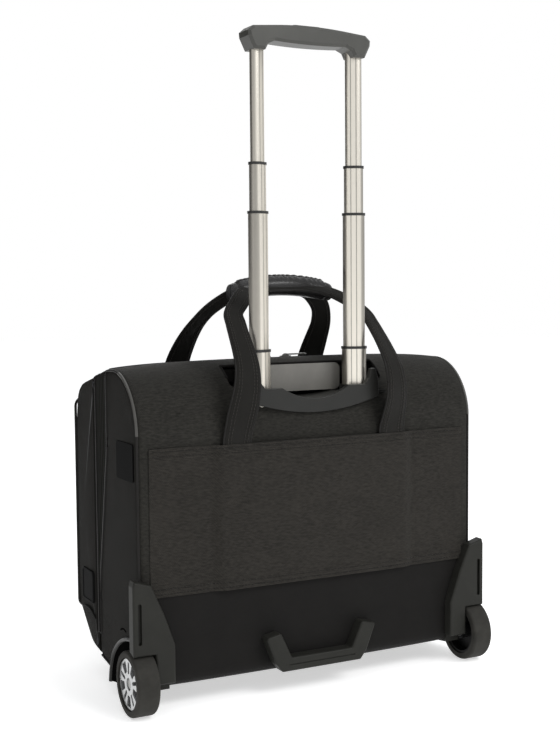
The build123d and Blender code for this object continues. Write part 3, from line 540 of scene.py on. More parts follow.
def walled(obj, thickness, inner_slot=0):
    """Gives an open shell its thickness, inwards; inner_slot is the lining's slot."""
    wall = obj.modifiers.new("wall", "SOLIDIFY")
    wall.thickness = thickness * MM
    wall.offset = -1
    wall.material_offset = inner_slot
    bpy.context.view_layer.update()
    applied(obj)
    smooth(obj.data)


def cut_away(obj, cutters):
    """Subtracts cutter objects, which are then removed."""
    for cutter in cutters:
        modifier = obj.modifiers.new("cut", "BOOLEAN")
        modifier.operation = "DIFFERENCE"
        modifier.solver = "EXACT"
        modifier.object = cutter
    bpy.context.view_layer.update()
    applied(obj)
    for cutter in cutters:
        bpy.data.objects.remove(cutter)
    smooth(obj.data)


def prism(points, low, high, axis):
    """Closed prism over 2-D points; axis is the direction of its length, x or y."""
    shape = Shape()
    n = len(points)
    ends = [[(d, *p) if axis == "x" else (p[0], d, p[1]) for p in points] for d in (low, high)]
    shape.grid(ends, loop=True)
    shape.faces += [list(range(n)), list(range(n, 2 * n))[::-1]]
    shape.slots += [0, 0]
    return shape.build("cutter", [])


def corner_arcs(corners, radius, steps):
    """Arcs round the four corners' centres, anticlockwise from the first at angle 0."""
    for corner, start in zip(corners, (0, 90, 180, 270)):
        for k in range(steps + 1):
            a = math.radians(start + 90 * k / steps)
            yield corner[0] + radius * math.cos(a), corner[1] + radius * math.sin(a)


def disc(centre, radius, sides=64):
    return [(centre[0] + radius * math.cos(2 * math.pi * k / sides),
             centre[1] + radius * math.sin(2 * math.pi * k / sides)) for k in range(sides)]


# ================================================================ the case's outline
def bend(corner, before, after, radius, steps):
    """Points of the arc that rounds a corner; steps is a count, or the longest step in mm."""
    corner = Vector(corner)
    a, b = ((Vector(p) - corner).normalized() for p in (before, after))
    half = a.angle(b) / 2
    centre = corner + (a + b).normalized() * (radius / math.sin(half))
    start, end = (corner + v * (radius / math.tan(half)) - centre for v in (a, b))
    turn = math.pi - 2 * half
    if isinstance(steps, float):
        steps = max(3, math.ceil(turn * radius / steps))
    return [
        centre + (start * math.sin((1 - k / steps) * turn) + end * math.sin(k / steps * turn))
        / math.sin(turn)
        for k in range(steps + 1)
    ]


def rounded(corners, radii, step=6.0):
    """Closed outline, anticlockwise, with rounded corners and points at most step apart."""
    raw = []
    n = len(corners)
    for i, radius in enumerate(radii):
        raw += bend(corners[i], corners[i - 1], corners[(i + 1) % n], radius, step)
    filled = []
    for p, q in zip(raw, raw[1:] + raw[:1]):
        runs = max(1, math.ceil((q - p).length / step))
        filled += [p.lerp(q, k / runs) for k in range(runs)]
    return filled


SIDE = rounded(OUTLINE, OUTLINE_R)


def crossing(depth, high):
    """Index and point where the outline passes a depth, above or below."""
    for i, p in enumerate(SIDE):
        q = SIDE[(i + 1) % len(SIDE)]
        if (p.x - depth) * (q.x - depth) <= 0 and (p.y > 200) == high and p.x != q.x:
            return i, p.lerp(q, (depth - p.x) / (q.x - p.x))
    raise ValueError(f"the outline doesn't pass {depth}")


def top_z(depth):
    return crossing(depth, True)[1].y


def bottom_z(depth):
    return crossing(depth, False)[1].y


def arc_between(depth_from, high_from, depth_to, high_to):
    """Points of the outline, anticlockwise, between two depths."""
    i, first = crossing(depth_from, high_from)
    j, last = crossing(depth_to, high_to)
    n = len(SIDE)
    middle = []
    k = (i + 1) % n
    while k != (j + 1) % n:
        middle.append(SIDE[k])
        k = (k + 1) % n
    middle = [p for p in middle if (p - first).length > 1.0 and (p - last).length > 1.0]
    return [first, *middle, last]


def arc_normals(arc):
    out = []
    for i in range(len(arc)):
        t = (arc[min(i + 1, len(arc) - 1)] - arc[max(i - 1, 0)]).normalized()
        out.append(Vector((t.y, -t.x)))
    return out


def puff(x, point, normal, crown):
    """How far the fabric stands proud of the CAD outline, along its normal."""
    across = min(1.0, abs(x) / HALF_W)
    upward = max(0.0, normal.y)
    near_zip = min(abs(point.x - MAIN_ZIP_Y), abs(point.x - FRONT_ZIP_Y))
    away = smoothstep(4.0, 42.0, near_zip) if point.y > 200 else 1.0
    lift = crown * (0.35 + 0.65 * upward) * (1 - across ** 2.2) * away
    return lift - (1.0 + 4.5 * upward) * across ** 5


def skin_point(x, point, normal, crown=3.0, drop=0.0, inset=0.0):
    moved = point + normal * (puff(x, point, normal, crown) - drop - inset)
    return Vector((x, moved.x, moved.y))


ZIP_CORNERS = [(MAIN_ZIP_Y, 500.0), (MAIN_ZIP_Y, 285.0), (MAIN_FOOT_Y, 118.0), (MAIN_FOOT_Y, 0.0)]
ZIP_LINE = [Vector(ZIP_CORNERS[0])]
for i in (1, 2):
    ZIP_LINE += bend(ZIP_CORNERS[i], ZIP_CORNERS[i - 1], ZIP_CORNERS[i + 1], 110.0, 6)
ZIP_LINE.append(Vector(ZIP_CORNERS[3]))


def zip_line_y(z, shift=0.0):
    """Depth of the main zipper on the ends, which bends forward on its way down."""
    for p, q in zip(ZIP_LINE, ZIP_LINE[1:]):
        if p.y >= z >= q.y:
            return p.x + (q.x - p.x) * (p.y - z) / (p.y - q.y) + shift
    return (MAIN_FOOT_Y if z < 100 else MAIN_ZIP_Y) + shift


def main_line(z):
    return zip_line_y(z)


def front_line(z):
    return FRONT_ZIP_Y


def outline_at(depth):
    """Top outline point and its normal at a depth."""
    i, p = crossing(depth, True)
    t = (SIDE[(i + 1) % len(SIDE)] - SIDE[i]).normalized()
    return p, Vector((t.y, -t.x))


END_STEPS = 30
TOP_STEPS = 44
CORNER_STEPS = 4


def around(line, shift, inset, z_low=60.0):
    """Path up one end, over the top and down the other end; yields points and outward normals."""
    p, n = outline_at(line(400) + shift)
    flat_w = HALF_W - EDGE_R
    end_z = skin_point(flat_w, p, n).z - EDGE_R
    half = []
    for k in range(END_STEPS + 1):
        z = z_low + (end_z - z_low) * k / END_STEPS
        half.append((Vector((HALF_W - inset, line(z) + shift, z)), Vector((1, 0, 0))))
    for k in range(1, CORNER_STEPS):
        a = math.pi / 2 * k / CORNER_STEPS
        r = EDGE_R - inset
        half.append((
            Vector((flat_w + r * math.cos(a), line(400) + shift, end_z + r * math.sin(a))),
            Vector((math.cos(a), 0, math.sin(a))),
        ))
    top = []
    for k in range(TOP_STEPS + 1):
        x = flat_w * (1 - 2 * k / TOP_STEPS)
        top.append((skin_point(x, p, n, inset=inset), Vector((0, n.x, n.y))))
    mirrored = [(Vector((-q.x, q.y, q.z)), Vector((-m.x, m.y, m.z))) for q, m in reversed(half)]
    return half + top + mirrored


def section_skin(name, arc, line, materials, crown, end_crown, chooser):
    """Hollow fabric section: the outline arc drawn across the width, with crowned end panels."""
    normals = arc_normals(arc)
    flat_w = HALF_W - EDGE_R
    shape = Shape()
    rows = []
    for k in range(TOP_STEPS + 1):
        x = flat_w * (2 * k / TOP_STEPS - 1)
        rows.append([skin_point(x, p, n, crown) for p, n in zip(arc, normals)])
    ends = {}
    for side in (-1, 1):
        turned = []
        for k in range(1, CORNER_STEPS + 1):
            a = math.pi / 2 * k / CORNER_STEPS
            x = side * (flat_w + EDGE_R * math.sin(a))
            drop = EDGE_R * (1 - math.cos(a))
            base = side * flat_w
            turned.append([
                Vector((x, *(q := skin_point(base, p, n, crown, drop=drop)).yz))
                for p, n in zip(arc, normals)
            ])
        ends[side] = turned[-1]
        rows = [*reversed(turned), *rows] if side < 0 else [*rows, *turned]
    shape.grid(rows)
    for side in (-1, 1):
        loop = [*ends[side], *(Vector((side * HALF_W, y, z)) for y, z in line)]
        centre = sum(loop, Vector()) / len(loop)
        rings = []
        for s in (1.0, 0.93, 0.84, 0.72, 0.58, 0.42, 0.25, 0.1):
            lift = end_crown * (1 - s ** 2.4)
            rings.append([centre + (p - centre) * s + Vector((side * lift, 0, 0)) for p in loop])
        shape.grid(rings, 1, loop=True)
        shape.fan(rings[-1], centre + Vector((side * end_crown, 0, 0)), 1)
    made = shape.build(name, materials, merge=0.05)
    outward(made)
    for face in made.data.polygons:
        face.material_index = chooser(face.center / MM, face.normal)
    walled(made, WALL, len(materials) - 1)
    return made


def outward(obj):
    """Turns an open shell's faces to point away from its middle."""
    mesh = obj.data
    middle = sum((v.co for v in mesh.vertices), Vector()) / len(mesh.vertices)
    score = sum(f.normal.dot(f.center - middle) * f.area for f in mesh.polygons)
    if score < 0:
        mesh.flip_normals()


# ================================================================ rear section
BAND_BOTTOM, BAND_TOP = band_low.z, band_high.z
RECESS_Y = BACK_Y - 46.0
RECESS_W = 101.0
REAR_CROWN = 3.2


def rear_chooser(centre, normal):
    if abs(normal.x) > END_FACING:
        return 1
    return 2 if centre.z < BAND_BOTTOM + 4 else 0


rear_arc = arc_between(MAIN_FOOT_Y + ZIP_HALF_GAP, False, MAIN_ZIP_Y + ZIP_HALF_GAP, True)
rear_low, rear_high = rear_arc[0].y + 9, rear_arc[-1].y - 12
rear_line = [
    (zip_line_y(z, ZIP_HALF_GAP), z)
    for z in (rear_high + (rear_low - rear_high) * k / 44 for k in range(45))
]
rear_skin = section_skin(
    "rear_case_fabric", rear_arc, rear_line,
    [REAR_FABRIC, END_FABRIC, LOWER_FABRIC, LINING], REAR_CROWN, 1.1, rear_chooser,
)
recess_side = [(RECESS_W, 400), (RECESS_W, 361), (99, 358.5), (85, 353), (82, 342)]
recess_foot = [(82 - 164 * k / 24, 328.0 + 14.0 * (1 - 2 * k / 24) ** 2) for k in range(1, 24)]
recess_shape = recess_side + recess_foot + [(-x, z) for x, z in reversed(recess_side)]
cutters = [prism(recess_shape, RECESS_Y, BACK_Y + 30, "y")]
FENDER_BAND = 44.0
for side in (-1, 1):
    low, high = sorted((side * 203.0, side * 240.0))
    cutters.append(prism(disc((WHEEL_Y, WHEEL_Z), FENDER_BAND), low, high, "x"))
    box = [(WHEEL_Y - FENDER_BAND + 7, WHEEL_Z), (WHEEL_Y - FENDER_BAND + 7, -10),
           (WHEEL_Y + 60, -10), (WHEEL_Y + 60, WHEEL_Z)]
    cutters.append(prism(box, low, high, "x"))
for side in ("right", "left"):
    data = NODES[f"wheel_bracket_{side}"].data.copy()
    welded = bmesh.new()
    welded.from_mesh(data)
    bmesh.ops.remove_doubles(welded, verts=welded.verts, dist=0.01 * MM)
    welded.to_mesh(data)
    welded.free()
    bracket = bpy.data.objects.new("cutter", data)
    bpy.context.scene.collection.objects.link(bracket)
    cutters.append(bracket)
cut_away(rear_skin, cutters)
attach(rear_skin, "case")
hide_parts("rear_shell")

# Raised rim round the front of each wheel well, and the short slit above it; the sheet inside the rim
# and the slit are near-black painted shade.
wells = Shape()
WELL_R = 38.6
WELL_RIM = [(-95, 14), (-91, 32), (-82, 50), (-66, 65), (-46, 75.5), (-22, 81), (0, 82)]
for side in (-1, 1):
    rim_line = catmull([(side * 221.8, BACK_Y + y, z) for y, z in WELL_RIM], 6)
    wells.tube(rim_line, 2.6)
    inner = []
    for k in range(len(rim_line)):
        a = math.radians(200 - 120 * k / (len(rim_line) - 1))
        y, z = WHEEL_Y + WELL_R * math.cos(a), WHEEL_Z + WELL_R * math.sin(a)
        inner.append(Vector((side * 221.6, y, z)))
    # Painted shade: a near-black sheet from the rim in to the wheel.
    wells.grid([[p.lerp(q, t) for p, q in zip(rim_line, inner)] for t in (0, 0.5, 1)], 1)
    # Painted shade: a near-black cord for the slit.
    slit = [Vector((side * (HALF_W + 0.6), BACK_Y + y, z))
            for y, z in ((-61, 83), (-56, 85.4), (-50, 86), (-44, 84.5))]
    wells.tube(catmull(slit, 4), 0.9, 1)
wells.build("wheel_well_rims", [LIP_PLASTIC, WELL_PAINTED_SHADE], "case")

# Piping along both edges of the back, with a glossier length over the shoulder whose lighter colour is
# a painted highlight.
rear_normals = arc_normals(rear_arc)
piping = Shape()
EDGE_ANGLE = math.radians(52)
for side in (-1, 1):
    runs = []
    for p, n in zip(rear_arc, rear_normals):
        q = skin_point(side * (HALF_W - EDGE_R), p, n, REAR_CROWN,
                       drop=EDGE_R * (1 - math.cos(EDGE_ANGLE)) - 0.7)
        x = side * (HALF_W - EDGE_R + EDGE_R * math.sin(EDGE_ANGLE) + 0.7)
        runs.append((Vector((x, q.y, q.z)), p))
    # The stretch over the shoulder carries the painted highlight.
    highlit = [i for i, (q, p) in enumerate(runs) if p.y > 305 and p.x > BACK_Y - 62]
    for part, radius, slot in ((runs[: highlit[0] + 1], 1.5, 0), (runs[highlit[-1] :], 1.5, 0),
                               (runs[highlit[0] : highlit[-1] + 1], 1.7, 1)):
        piping.tube([q for q, _ in part], radius, slot)
piping.build("rear_edge_piping", [PIPING, PIPING_PAINTED_HIGHLIGHT], "case")

# Bound edge of the recess opening.
rim = Shape()
rear_steps = range(len(rear_arc))
i_low = min(rear_steps, key=lambda i: abs(rear_arc[i].y - 364) + (rear_arc[i].x < RECESS_Y) * 99)
i_high = max(i for i in rear_steps if rear_arc[i].x > RECESS_Y and rear_arc[i].y > 300)
edge_w = RECESS_W - 1
places = [(RECESS_W, rear_arc[i], rear_normals[i]) for i in range(i_low, i_high + 1)]
places += [(edge_w * (1 - 2 * k / 24), *outline_at(RECESS_Y)) for k in range(25)]
places += [(-RECESS_W, rear_arc[i], rear_normals[i]) for i in range(i_high, i_low - 1, -1)]
rim_path = [skin_point(x, p, n, REAR_CROWN, inset=0.6) for x, p, n in places]
rim.tube(rim_path, 1.5)
rim.build("recess_binding", [SMOOTH_FABRIC], "case")

# ================================================================ middle gusset
gusset_shape = Shape()
GUSSET_LANES = 6
GUSSET_LOW = 40.0
lanes = []
front_side = around(front_line, ZIP_HALF_GAP, 0.0, GUSSET_LOW)
main_side = around(main_line, -ZIP_HALF_GAP, 0.0, GUSSET_LOW)
for v in range(GUSSET_LANES + 1):
    t = v / GUSSET_LANES
    bulge = 1.1 * math.sin(math.pi * t)
    lane = []
    for (a, na), (b, nb) in zip(front_side, main_side):
        point = a.lerp(b, t)
        point.x = a.x
        if abs(na.x) < 0.5:
            point = skin_point(a.x, *outline_at(point.y))
        lane.append(point + (na + nb).normalized() * bulge)
    lanes.append(lane)
gusset_shape.grid(lanes)
gusset = gusset_shape.build("middle_gusset", [GUSSET_FABRIC, LINING])
outward(gusset)
walled(gusset, WALL, 1)
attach(gusset, "middle")
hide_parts("middle_section")


def upright_panel(name, y_low, y_high, half_w, z_low, z_high, materials, body):
    """Upright panel across the case, with rounded corners."""
    shape = Shape()
    cols, rows = 28, 20
    radius = 12.0
    for face, y in ((-1, y_low), (1, y_high)):
        grid = []
        for r in range(rows + 1):
            v = r / rows
            z = z_low + (z_high - z_low) * v
            edge = min(z - z_low, z_high - z)
            inward = max(0.0, radius - edge)
            w = half_w - radius + math.sqrt(max(0.0, radius ** 2 - inward ** 2))
            grid.append([Vector((w * (2 * c / cols - 1), y, z)) for c in range(cols + 1)])
        shape.grid(grid if face > 0 else grid[::-1])
        rim = grid[0] + [row[-1] for row in grid[1:]]
        rim += grid[-1][::-1][1:] + [row[0] for row in grid[::-1][1:-1]]
        if face < 0:
            first_rim = rim
    n = len(first_rim)
    shape.add([*first_rim, *rim], [[k, (k + 1) % n, n + (k + 1) % n, n + k] for k in range(n)])
    return shape.build(name, materials, body)


DIVIDER_Y = FRONT_ZIP_Y + ZIP_HALF_GAP
divider = upright_panel("middle_divider", DIVIDER_Y + 0.1, DIVIDER_Y + 2.0, HALF_W - WALL - 0.4, 41.5,
                        top_z(DIVIDER_Y) - 5.5, [LINING], "middle")

# ================================================================ front section
FRONT_CROWN = 2.6


def front_chooser(centre, normal):
    return 1 if abs(normal.x) > END_FACING else 0


front_arc = arc_between(FRONT_ZIP_Y - ZIP_HALF_GAP, True, FRONT_ZIP_Y - ZIP_HALF_GAP, False)
front_top, front_low = front_arc[0].y - 12, front_arc[-1].y + 9
front_line_points = [
    (FRONT_ZIP_Y - ZIP_HALF_GAP, front_low + (front_top - front_low) * k / 36) for k in range(37)
]
front_skin = section_skin(
    "front_case_fabric", front_arc, front_line_points,
    [FRONT_FABRIC, END_FABRIC, LINING], FRONT_CROWN, 2.4, front_chooser,
)
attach(front_skin, "front")
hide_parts("front_shell")

# Piping round the front panel.
FRONT_SEAM_Y = BACK_Y - 209.0
front_piping = Shape()
seam_top = top_z(FRONT_SEAM_Y) - 0.6
seam_low = bottom_z(FRONT_SEAM_Y) + 0.2
SEAM_R = 9.0
seam_w = HALF_W + 0.9 - SEAM_R
seam_high, seam_foot = seam_top - 3 - SEAM_R, seam_low + SEAM_R
seam_corners = [
    (seam_w, seam_high), (-seam_w, seam_high), (-seam_w, seam_foot), (seam_w, seam_foot),
]
ring = [Vector((x, FRONT_SEAM_Y, z)) for x, z in corner_arcs(seam_corners, SEAM_R, 5)]
filled = []
for a, b in zip(ring, ring[1:] + ring[:1]):
    runs = max(1, int((b - a).length / 10))
    for k in range(runs):
        q = a.lerp(b, k / runs)
        if q.z > seam_top - 6:
            q.z += 3.0 - 3.0 * (abs(q.x) / HALF_W) ** 4
        filled.append(q)
front_piping.tube(filled, 1.7, closed=True)
front_piping.build("front_edge_piping", [PIPING], "front")

# Front pocket: raised panel with a zipper along its top, on the front face.
POCKET_W, POCKET_LOW, POCKET_HIGH = 168.0, 92.0, 226.0


def front_face(x, out, z):
    """Point out mm in front of the crowned front face."""
    return Vector((x, FRONT_Y - 0.91 * (1 - (abs(x) / HALF_W) ** 2.2) - out, z))


pocket = Shape()
rows = []
for v in range(21):
    t = v / 20
    z = POCKET_LOW + (POCKET_HIGH - POCKET_LOW) * t
    row = []
    for u in range(37):
        s = 2 * u / 36 - 1
        beside = min(1.0, (1 - abs(s)) * POCKET_W / 12)
        rise = 4.2 * (beside * min(1.0, t * 9, (1 - t) * 12)) ** 0.5
        crown = 2.6 * 0.35 * (1 - (abs(s) * POCKET_W / HALF_W) ** 2.2)
        row.append(Vector((s * POCKET_W, FRONT_Y - crown - rise - 0.2, z)))
    rows.append(row)
pocket.grid(rows)
pocket_panel = pocket.build("front_pocket_panel", [FRONT_FABRIC])
if sum(f.normal.y for f in pocket_panel.data.polygons) > 0:
    pocket_panel.data.flip_normals()
walled(pocket_panel, 1.4)
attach(pocket_panel, "front")

pocket_trim = Shape()
edge = [
    (-POCKET_W, POCKET_HIGH), (-POCKET_W, POCKET_LOW), (POCKET_W, POCKET_LOW), (POCKET_W, POCKET_HIGH),
]
path = []
for (xa, za), (xb, zb) in zip(edge, edge[1:]):
    runs = max(2, int(math.hypot(xb - xa, zb - za) / 12))
    for k in range(runs):
        x, z = xa + (xb - xa) * k / runs, za + (zb - za) * k / runs
        path.append(front_face(x, 1.4, z))
path.append(Vector((POCKET_W, FRONT_Y - 1.6, POCKET_HIGH)))
pocket_trim.tube(path, 1.5)
pocket_trim.build("front_pocket_piping", [PIPING], "front")

pocket_zip = Shape()
zip_rows = []
ZIP_Z = POCKET_HIGH + 6
for dz, out in ((-5.5, 0.2), (-5.0, 1.5), (5.0, 1.5), (5.5, 0.2)):
    zip_rows.append([
        front_face(x, out, ZIP_Z + dz)
        for x in (-POCKET_W + 2 * POCKET_W * k / 30 for k in range(31))
    ])
pocket_zip.grid([*zip_rows, zip_rows[0]])
for k in range(150):
    x = -POCKET_W + 4 + (2 * POCKET_W - 8) * k / 149
    for lift in (-1.0, 1.0):
        c = Vector((x + 0.5 * lift, front_face(x, 1.5, 0.0).y, ZIP_Z + lift * 0.9))
        pocket_zip.add([c + Vector(d) for d in (
            (-0.55, 0.3, -1.1), (0.55, 0.3, -1.1), (0.55, 0.3, 1.1), (-0.55, 0.3, 1.1),
            (-0.35, -0.9, -0.8), (0.35, -0.9, -0.8), (0.35, -0.9, 0.8), (-0.35, -0.9, 0.8),
        )], [[0, 1, 5, 4], [1, 2, 6, 5], [2, 3, 7, 6], [3, 0, 4, 7], [4, 5, 6, 7], [3, 2, 1, 0]], 1)
pocket_zipper = pocket_zip.build("front_pocket_zipper", [TAPE_CLOTH, COIL], "front")

# Blank moulded patch low on each end of the front section, with a seam below it.
PATCH_HALF = 20.0
patch = Shape()
for side in (-1, 1):
    rows = []
    for inward, out in ((0.0, 2.0), (0.6, 4.6), (2.4, 4.9), (3.0, 4.2), (12.0, 4.4)):
        corner = max(2.0, 6.0 - inward)
        half = PATCH_HALF - inward - corner
        corners = [(half, half), (-half, half), (-half, -half), (half, -half)]
        rows.append([
            Vector((side * (HALF_W + out - 1.0), BACK_Y - 167.5 + y, 112.0 + z))
            for y, z in corner_arcs(corners, corner, 4)
        ])
    patch.grid(rows, loop=True)
    patch.fan(rows[-1], sum(rows[-1], Vector()) / len(rows[-1]))
end_patch = patch.build("end_patches", [PATCH_VINYL], "front")
flap = Shape()
END_SEAM = [(1.6, -193, 80), (2.6, -178, 84), (2.4, -160, 83), (1.6, -146, 76)]
for side in (-1, 1):
    line = [(side * (HALF_W + out), BACK_Y + y, z) for out, y, z in END_SEAM]
    flap.tube(catmull(line, 8), 1.3)
flap.build("end_seams", [SMOOTH_FABRIC], "front")

# ================================================================ zippers
TAPE_INSET = 0.4
TOOTH = [(-0.35, -0.3), (-0.15, 0.7), (0.8, 0.8), (1.1, -0.2)]


def zip_tape(shape, line, near, far):
    """Half a zipper: woven tape with its coil of small teeth along the centre line."""
    outer_near, outer_far = around(line, near, TAPE_INSET), around(line, far, TAPE_INSET)
    inner_near, inner_far = around(line, near, 1.5), around(line, far, 1.5)
    lanes = (outer_near, outer_far, inner_far, inner_near, outer_near)
    shape.grid([[p for p, _ in lane] for lane in lanes])
    sign = 1 if far > near else -1
    points, normals = zip(*outer_near)
    across = Vector((0, sign, 0))
    for p, tangent, normal in spaced(points, normals, 2.1):
        start = len(shape.points)
        base = [p + tangent * (s * 0.6) + across * d + normal * h
                for s in (-1, 1) for d, h in TOOTH]
        shape.points += base
        for f in ([0, 1, 5, 4], [1, 2, 6, 5], [2, 3, 7, 6], [0, 3, 2, 1], [4, 5, 6, 7]):
            shape.faces.append([start + k for k in f])
            shape.slots.append(1)


for name, body, node, halves in (
    ("main_zipper_rear_half", "case", "main_zip_rear_tape", [(main_line, 1)]),
    ("front_zipper_front_half", "front", "front_zip_front_tape", [(front_line, -1)]),
    ("middle_zipper_halves", "middle", "middle_zip_tapes", [(main_line, -1), (front_line, 1)]),
):
    tape = Shape()
    for line, side in halves:
        zip_tape(tape, line, side * 0.25, side * 2.2)
    zipper = tape.build(name, [TAPE_CLOTH, COIL], body)
    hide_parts(node)

# Welts beside the zippers.
for name, line, shift, body, material in (
    ("main_zip_welt", main_line, 4.6, "case", PIPING),
    ("front_zip_welt", front_line, -4.6, "front", SMOOTH_FABRIC),
    ("gusset_welt", front_line, 5.0, "middle", SMOOTH_FABRIC),
):
    welt = Shape()
    welt.tube([p for p, _ in around(line, shift, -0.2, 62.0)], 1.3, flat=0.9)
    welt.build(name, [material], body)

# ================================================================ sleeve band
BAND_W = 207.0
BAND_SEAM = 134.0


def band_out(x, z):
    """How far the band's outer face stands off the back at a place."""
    stand = 4.4 * (1 - smoothstep(BAND_SEAM - 16, BAND_SEAM, abs(x)))
    p = Vector((SHELL_Y, z))
    follow = puff(x, p, Vector((1, 0)), REAR_CROWN)
    ripple = 0.5 * math.sin(x * 0.045 + z * 0.03) * math.sin(z * 0.05 - x * 0.017)
    edge = min(z - BAND_BOTTOM, BAND_TOP - z)
    hem = 0.9 if edge < 11.0 else 0.9 - 0.7 * smoothstep(11.0, 12.5, edge)
    seam = math.exp(-((abs(x) - BAND_SEAM) / 1.6) ** 2) * 0.9
    sewn = sum(math.exp(-((edge - d) / 0.9) ** 2) for d in (3.5, 9.0)) * 0.45
    return follow + stand + 1.2 + hem + ripple * smoothstep(0, 30, edge) - seam - sewn


band = Shape()
HEM_STEPS = (0, 0.8, 2, 3.5, 5, 7, 9, 11, 12.5)
xs = [-BAND_W + 2 * BAND_W * k / 138 for k in range(139)]
zs = [BAND_BOTTOM + v for v in HEM_STEPS]
zs += [BAND_BOTTOM + 16 + (BAND_TOP - BAND_BOTTOM - 32) * k / 24 for k in range(25)]
zs += [BAND_TOP - v for v in reversed(HEM_STEPS)]
outer_rows = [[Vector((x, SHELL_Y + band_out(x, z), z)) for x in xs] for z in zs]
inner_rows = [[p - Vector((0, 1.3, 0)) for p in row] for row in outer_rows]
band.slab(outer_rows, inner_rows)
sleeve_band = band.build("sleeve_band", [BAND_FABRIC], "case", angle=60)
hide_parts("back_sleeve_band")

band_thread = Shape()
rows = [(xs[1:-1], [z]) for inset in (3.5, 9.0) for z in (BAND_BOTTOM + inset, BAND_TOP - inset)]
rows += [([x], zs[8:-8]) for x in (-BAND_SEAM, BAND_SEAM)]
for along, up in rows:
    path = [Vector((x, SHELL_Y + band_out(x, z), z)) for x in along for z in up]
    band_thread.stitches(path, [Vector((0, 1, 0))] * len(path))
band_stitches = band_thread.build("band_stitching", [STITCH_DARK], "case")


# ================================================================ carry handles
def profile_curve(points, per_run=12):
    """Side profile of a strap: distances along it and its (y, z) points."""
    line = catmull([(0, y, z) for y, z in points], per_run)
    distance, out = 0.0, []
    for i, p in enumerate(line):
        distance += (p - line[i - 1]).length if i else 0.0
        out.append((distance, p))
    return out


def on_profile(profile, q):
    """Point and outward normal at a distance along a strap's side profile."""
    q = min(max(q, profile[0][0]), profile[-1][0])
    for (qa, a), (qb, b) in zip(profile, profile[1:]):
        if qa <= q <= qb:
            t = (q - qa) / (qb - qa)
            tangent = (b - a).normalized()
            return a.lerp(b, t), Vector((0, tangent.z, -tangent.y))
    raise ValueError("off the profile")


def distance_at(profile, z):
    """Distance along a profile that always climbs to the place where it passes a height."""
    for (qa, a), (qb, b) in zip(profile, profile[1:]):
        if b.z >= z:
            return qa + (qb - qa) * max(0.0, z - a.z) / (b.z - a.z)
    return profile[-1][0]


# Section of a strap: share of its half width and share of its thickness.
STRAP_SECTION = [
    (-1, 0.0), (-0.9, 0.42), (-0.6, 0.5), (0, 0.56), (0.6, 0.5), (0.9, 0.42),
    (1, 0.0), (0.9, -0.42), (0.6, -0.5), (0, -0.5), (-0.6, -0.5), (-0.9, -0.42),
]


def handle(name, profile, facing, legs, thickness, twist):
    """Padded loop: both legs and the bar, with piped and double-stitched edges."""
    length = profile[-1][0]
    centre = [(x, distance_at(profile, z), w) for z, x, w in legs]
    top = [
        (59, length - 18, 20.5), (44, length - 8, 20),
        (24, length - 1.2, 20), (0, length, 20),
    ]
    right = centre + top
    whole = right + [(-x, q, w) for x, q, w in reversed(right[:-1])]
    flat = catmull(whole, 9)
    shape = Shape()
    rows, edges = [], ([], [])
    seams = {(u, 1): ([], []) for u in (0.72, -0.72, 0.5, -0.5)}
    seams.update({(u, -1): ([], []) for u in (0.72, -0.72)})
    n = len(flat)
    for i, c in enumerate(flat):
        t = (flat[min(i + 1, n - 1)] - flat[max(i - 1, 0)])
        t = Vector((t.x, t.y)).normalized()
        across = Vector((t.y, -t.x))
        w = c.z / 2
        lean = twist * smoothstep(0, 60, c.y) * (1 - smoothstep(length - 60, length - 20, c.y))
        lean *= 1 if c.x > 0 else -1

        def place(u, h):
            x, q = c.x + across.x * w * u, c.y + across.y * w * u
            p, normal = on_profile(profile, q)
            normal = normal * facing
            side = (x - c.x) * -math.sin(lean)
            return Vector((x, p.y, p.z)) + normal * (h + side), normal

        ring = []
        for u, h in STRAP_SECTION:
            groove = 0.1 if abs(u) == 0.6 else 0.0
            ring.append(place(u, (h - groove * (1 if h > 0 else -1)) * thickness)[0])
        rows.append(ring)
        for u, keep in zip((-1, 1), edges):
            keep.append(place(u, 0.0)[0])
        for (u, face), (ps, ns) in seams.items():
            p, normal = place(u, face * 0.47 * thickness)
            ps.append(p)
            ns.append(normal * face)
    shape.grid(rows, 0, loop=True)
    shape.faces += [list(range(12))[::-1], [(n - 1) * 12 + k for k in range(12)]]
    shape.slots += [0, 0]
    for keep in edges:
        shape.tube(keep, 1.35, 1)
    for ps, ns in seams.values():
        keep = [k for k in range(n) if not (abs(flat[k].x) < 70 and flat[k].y > length - 16)]
        first = [k for k in keep if k < n / 2]
        second = [k for k in keep if k > n / 2]
        for part in (first, second):
            shape.stitches([ps[k] for k in part], [ns[k] for k in part], 2)
    return shape.build(name, [STRAP_FABRIC, PIPING, STITCH], angle=50)


rear_profile = profile_curve([
    *((SHELL_Y + out, z) for out, z in (
        (4.0, 291.0), (6.0, 304.0), (13.0, 322.0), (20.5, 342.0), (23.0, 361.0),
        (18.5, 380.0), (6.0, 398.0), (-9.0, 415.0), (-32.0, 439.0), (-56.0, 459.0),
    )),
    (CARRY_Y + 9.0, CARRY_Z),
])
rear_strap = handle(
    "rear_carry_strap", rear_profile, 1,
    [(291, 102.5, 33), (305, 102.0, 33), (335, 100.5, 31), (365, 97.0, 27),
     (390, 94.0, 24), (412, 92.0, 21.5), (428, 90.0, 20.5), (440, 87.5, 19.5), (451, 75.0, 20)],
    4.2, math.radians(15),
)
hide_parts("rear_handle_straps", "rear_strap_anchors")
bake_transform(rear_strap)

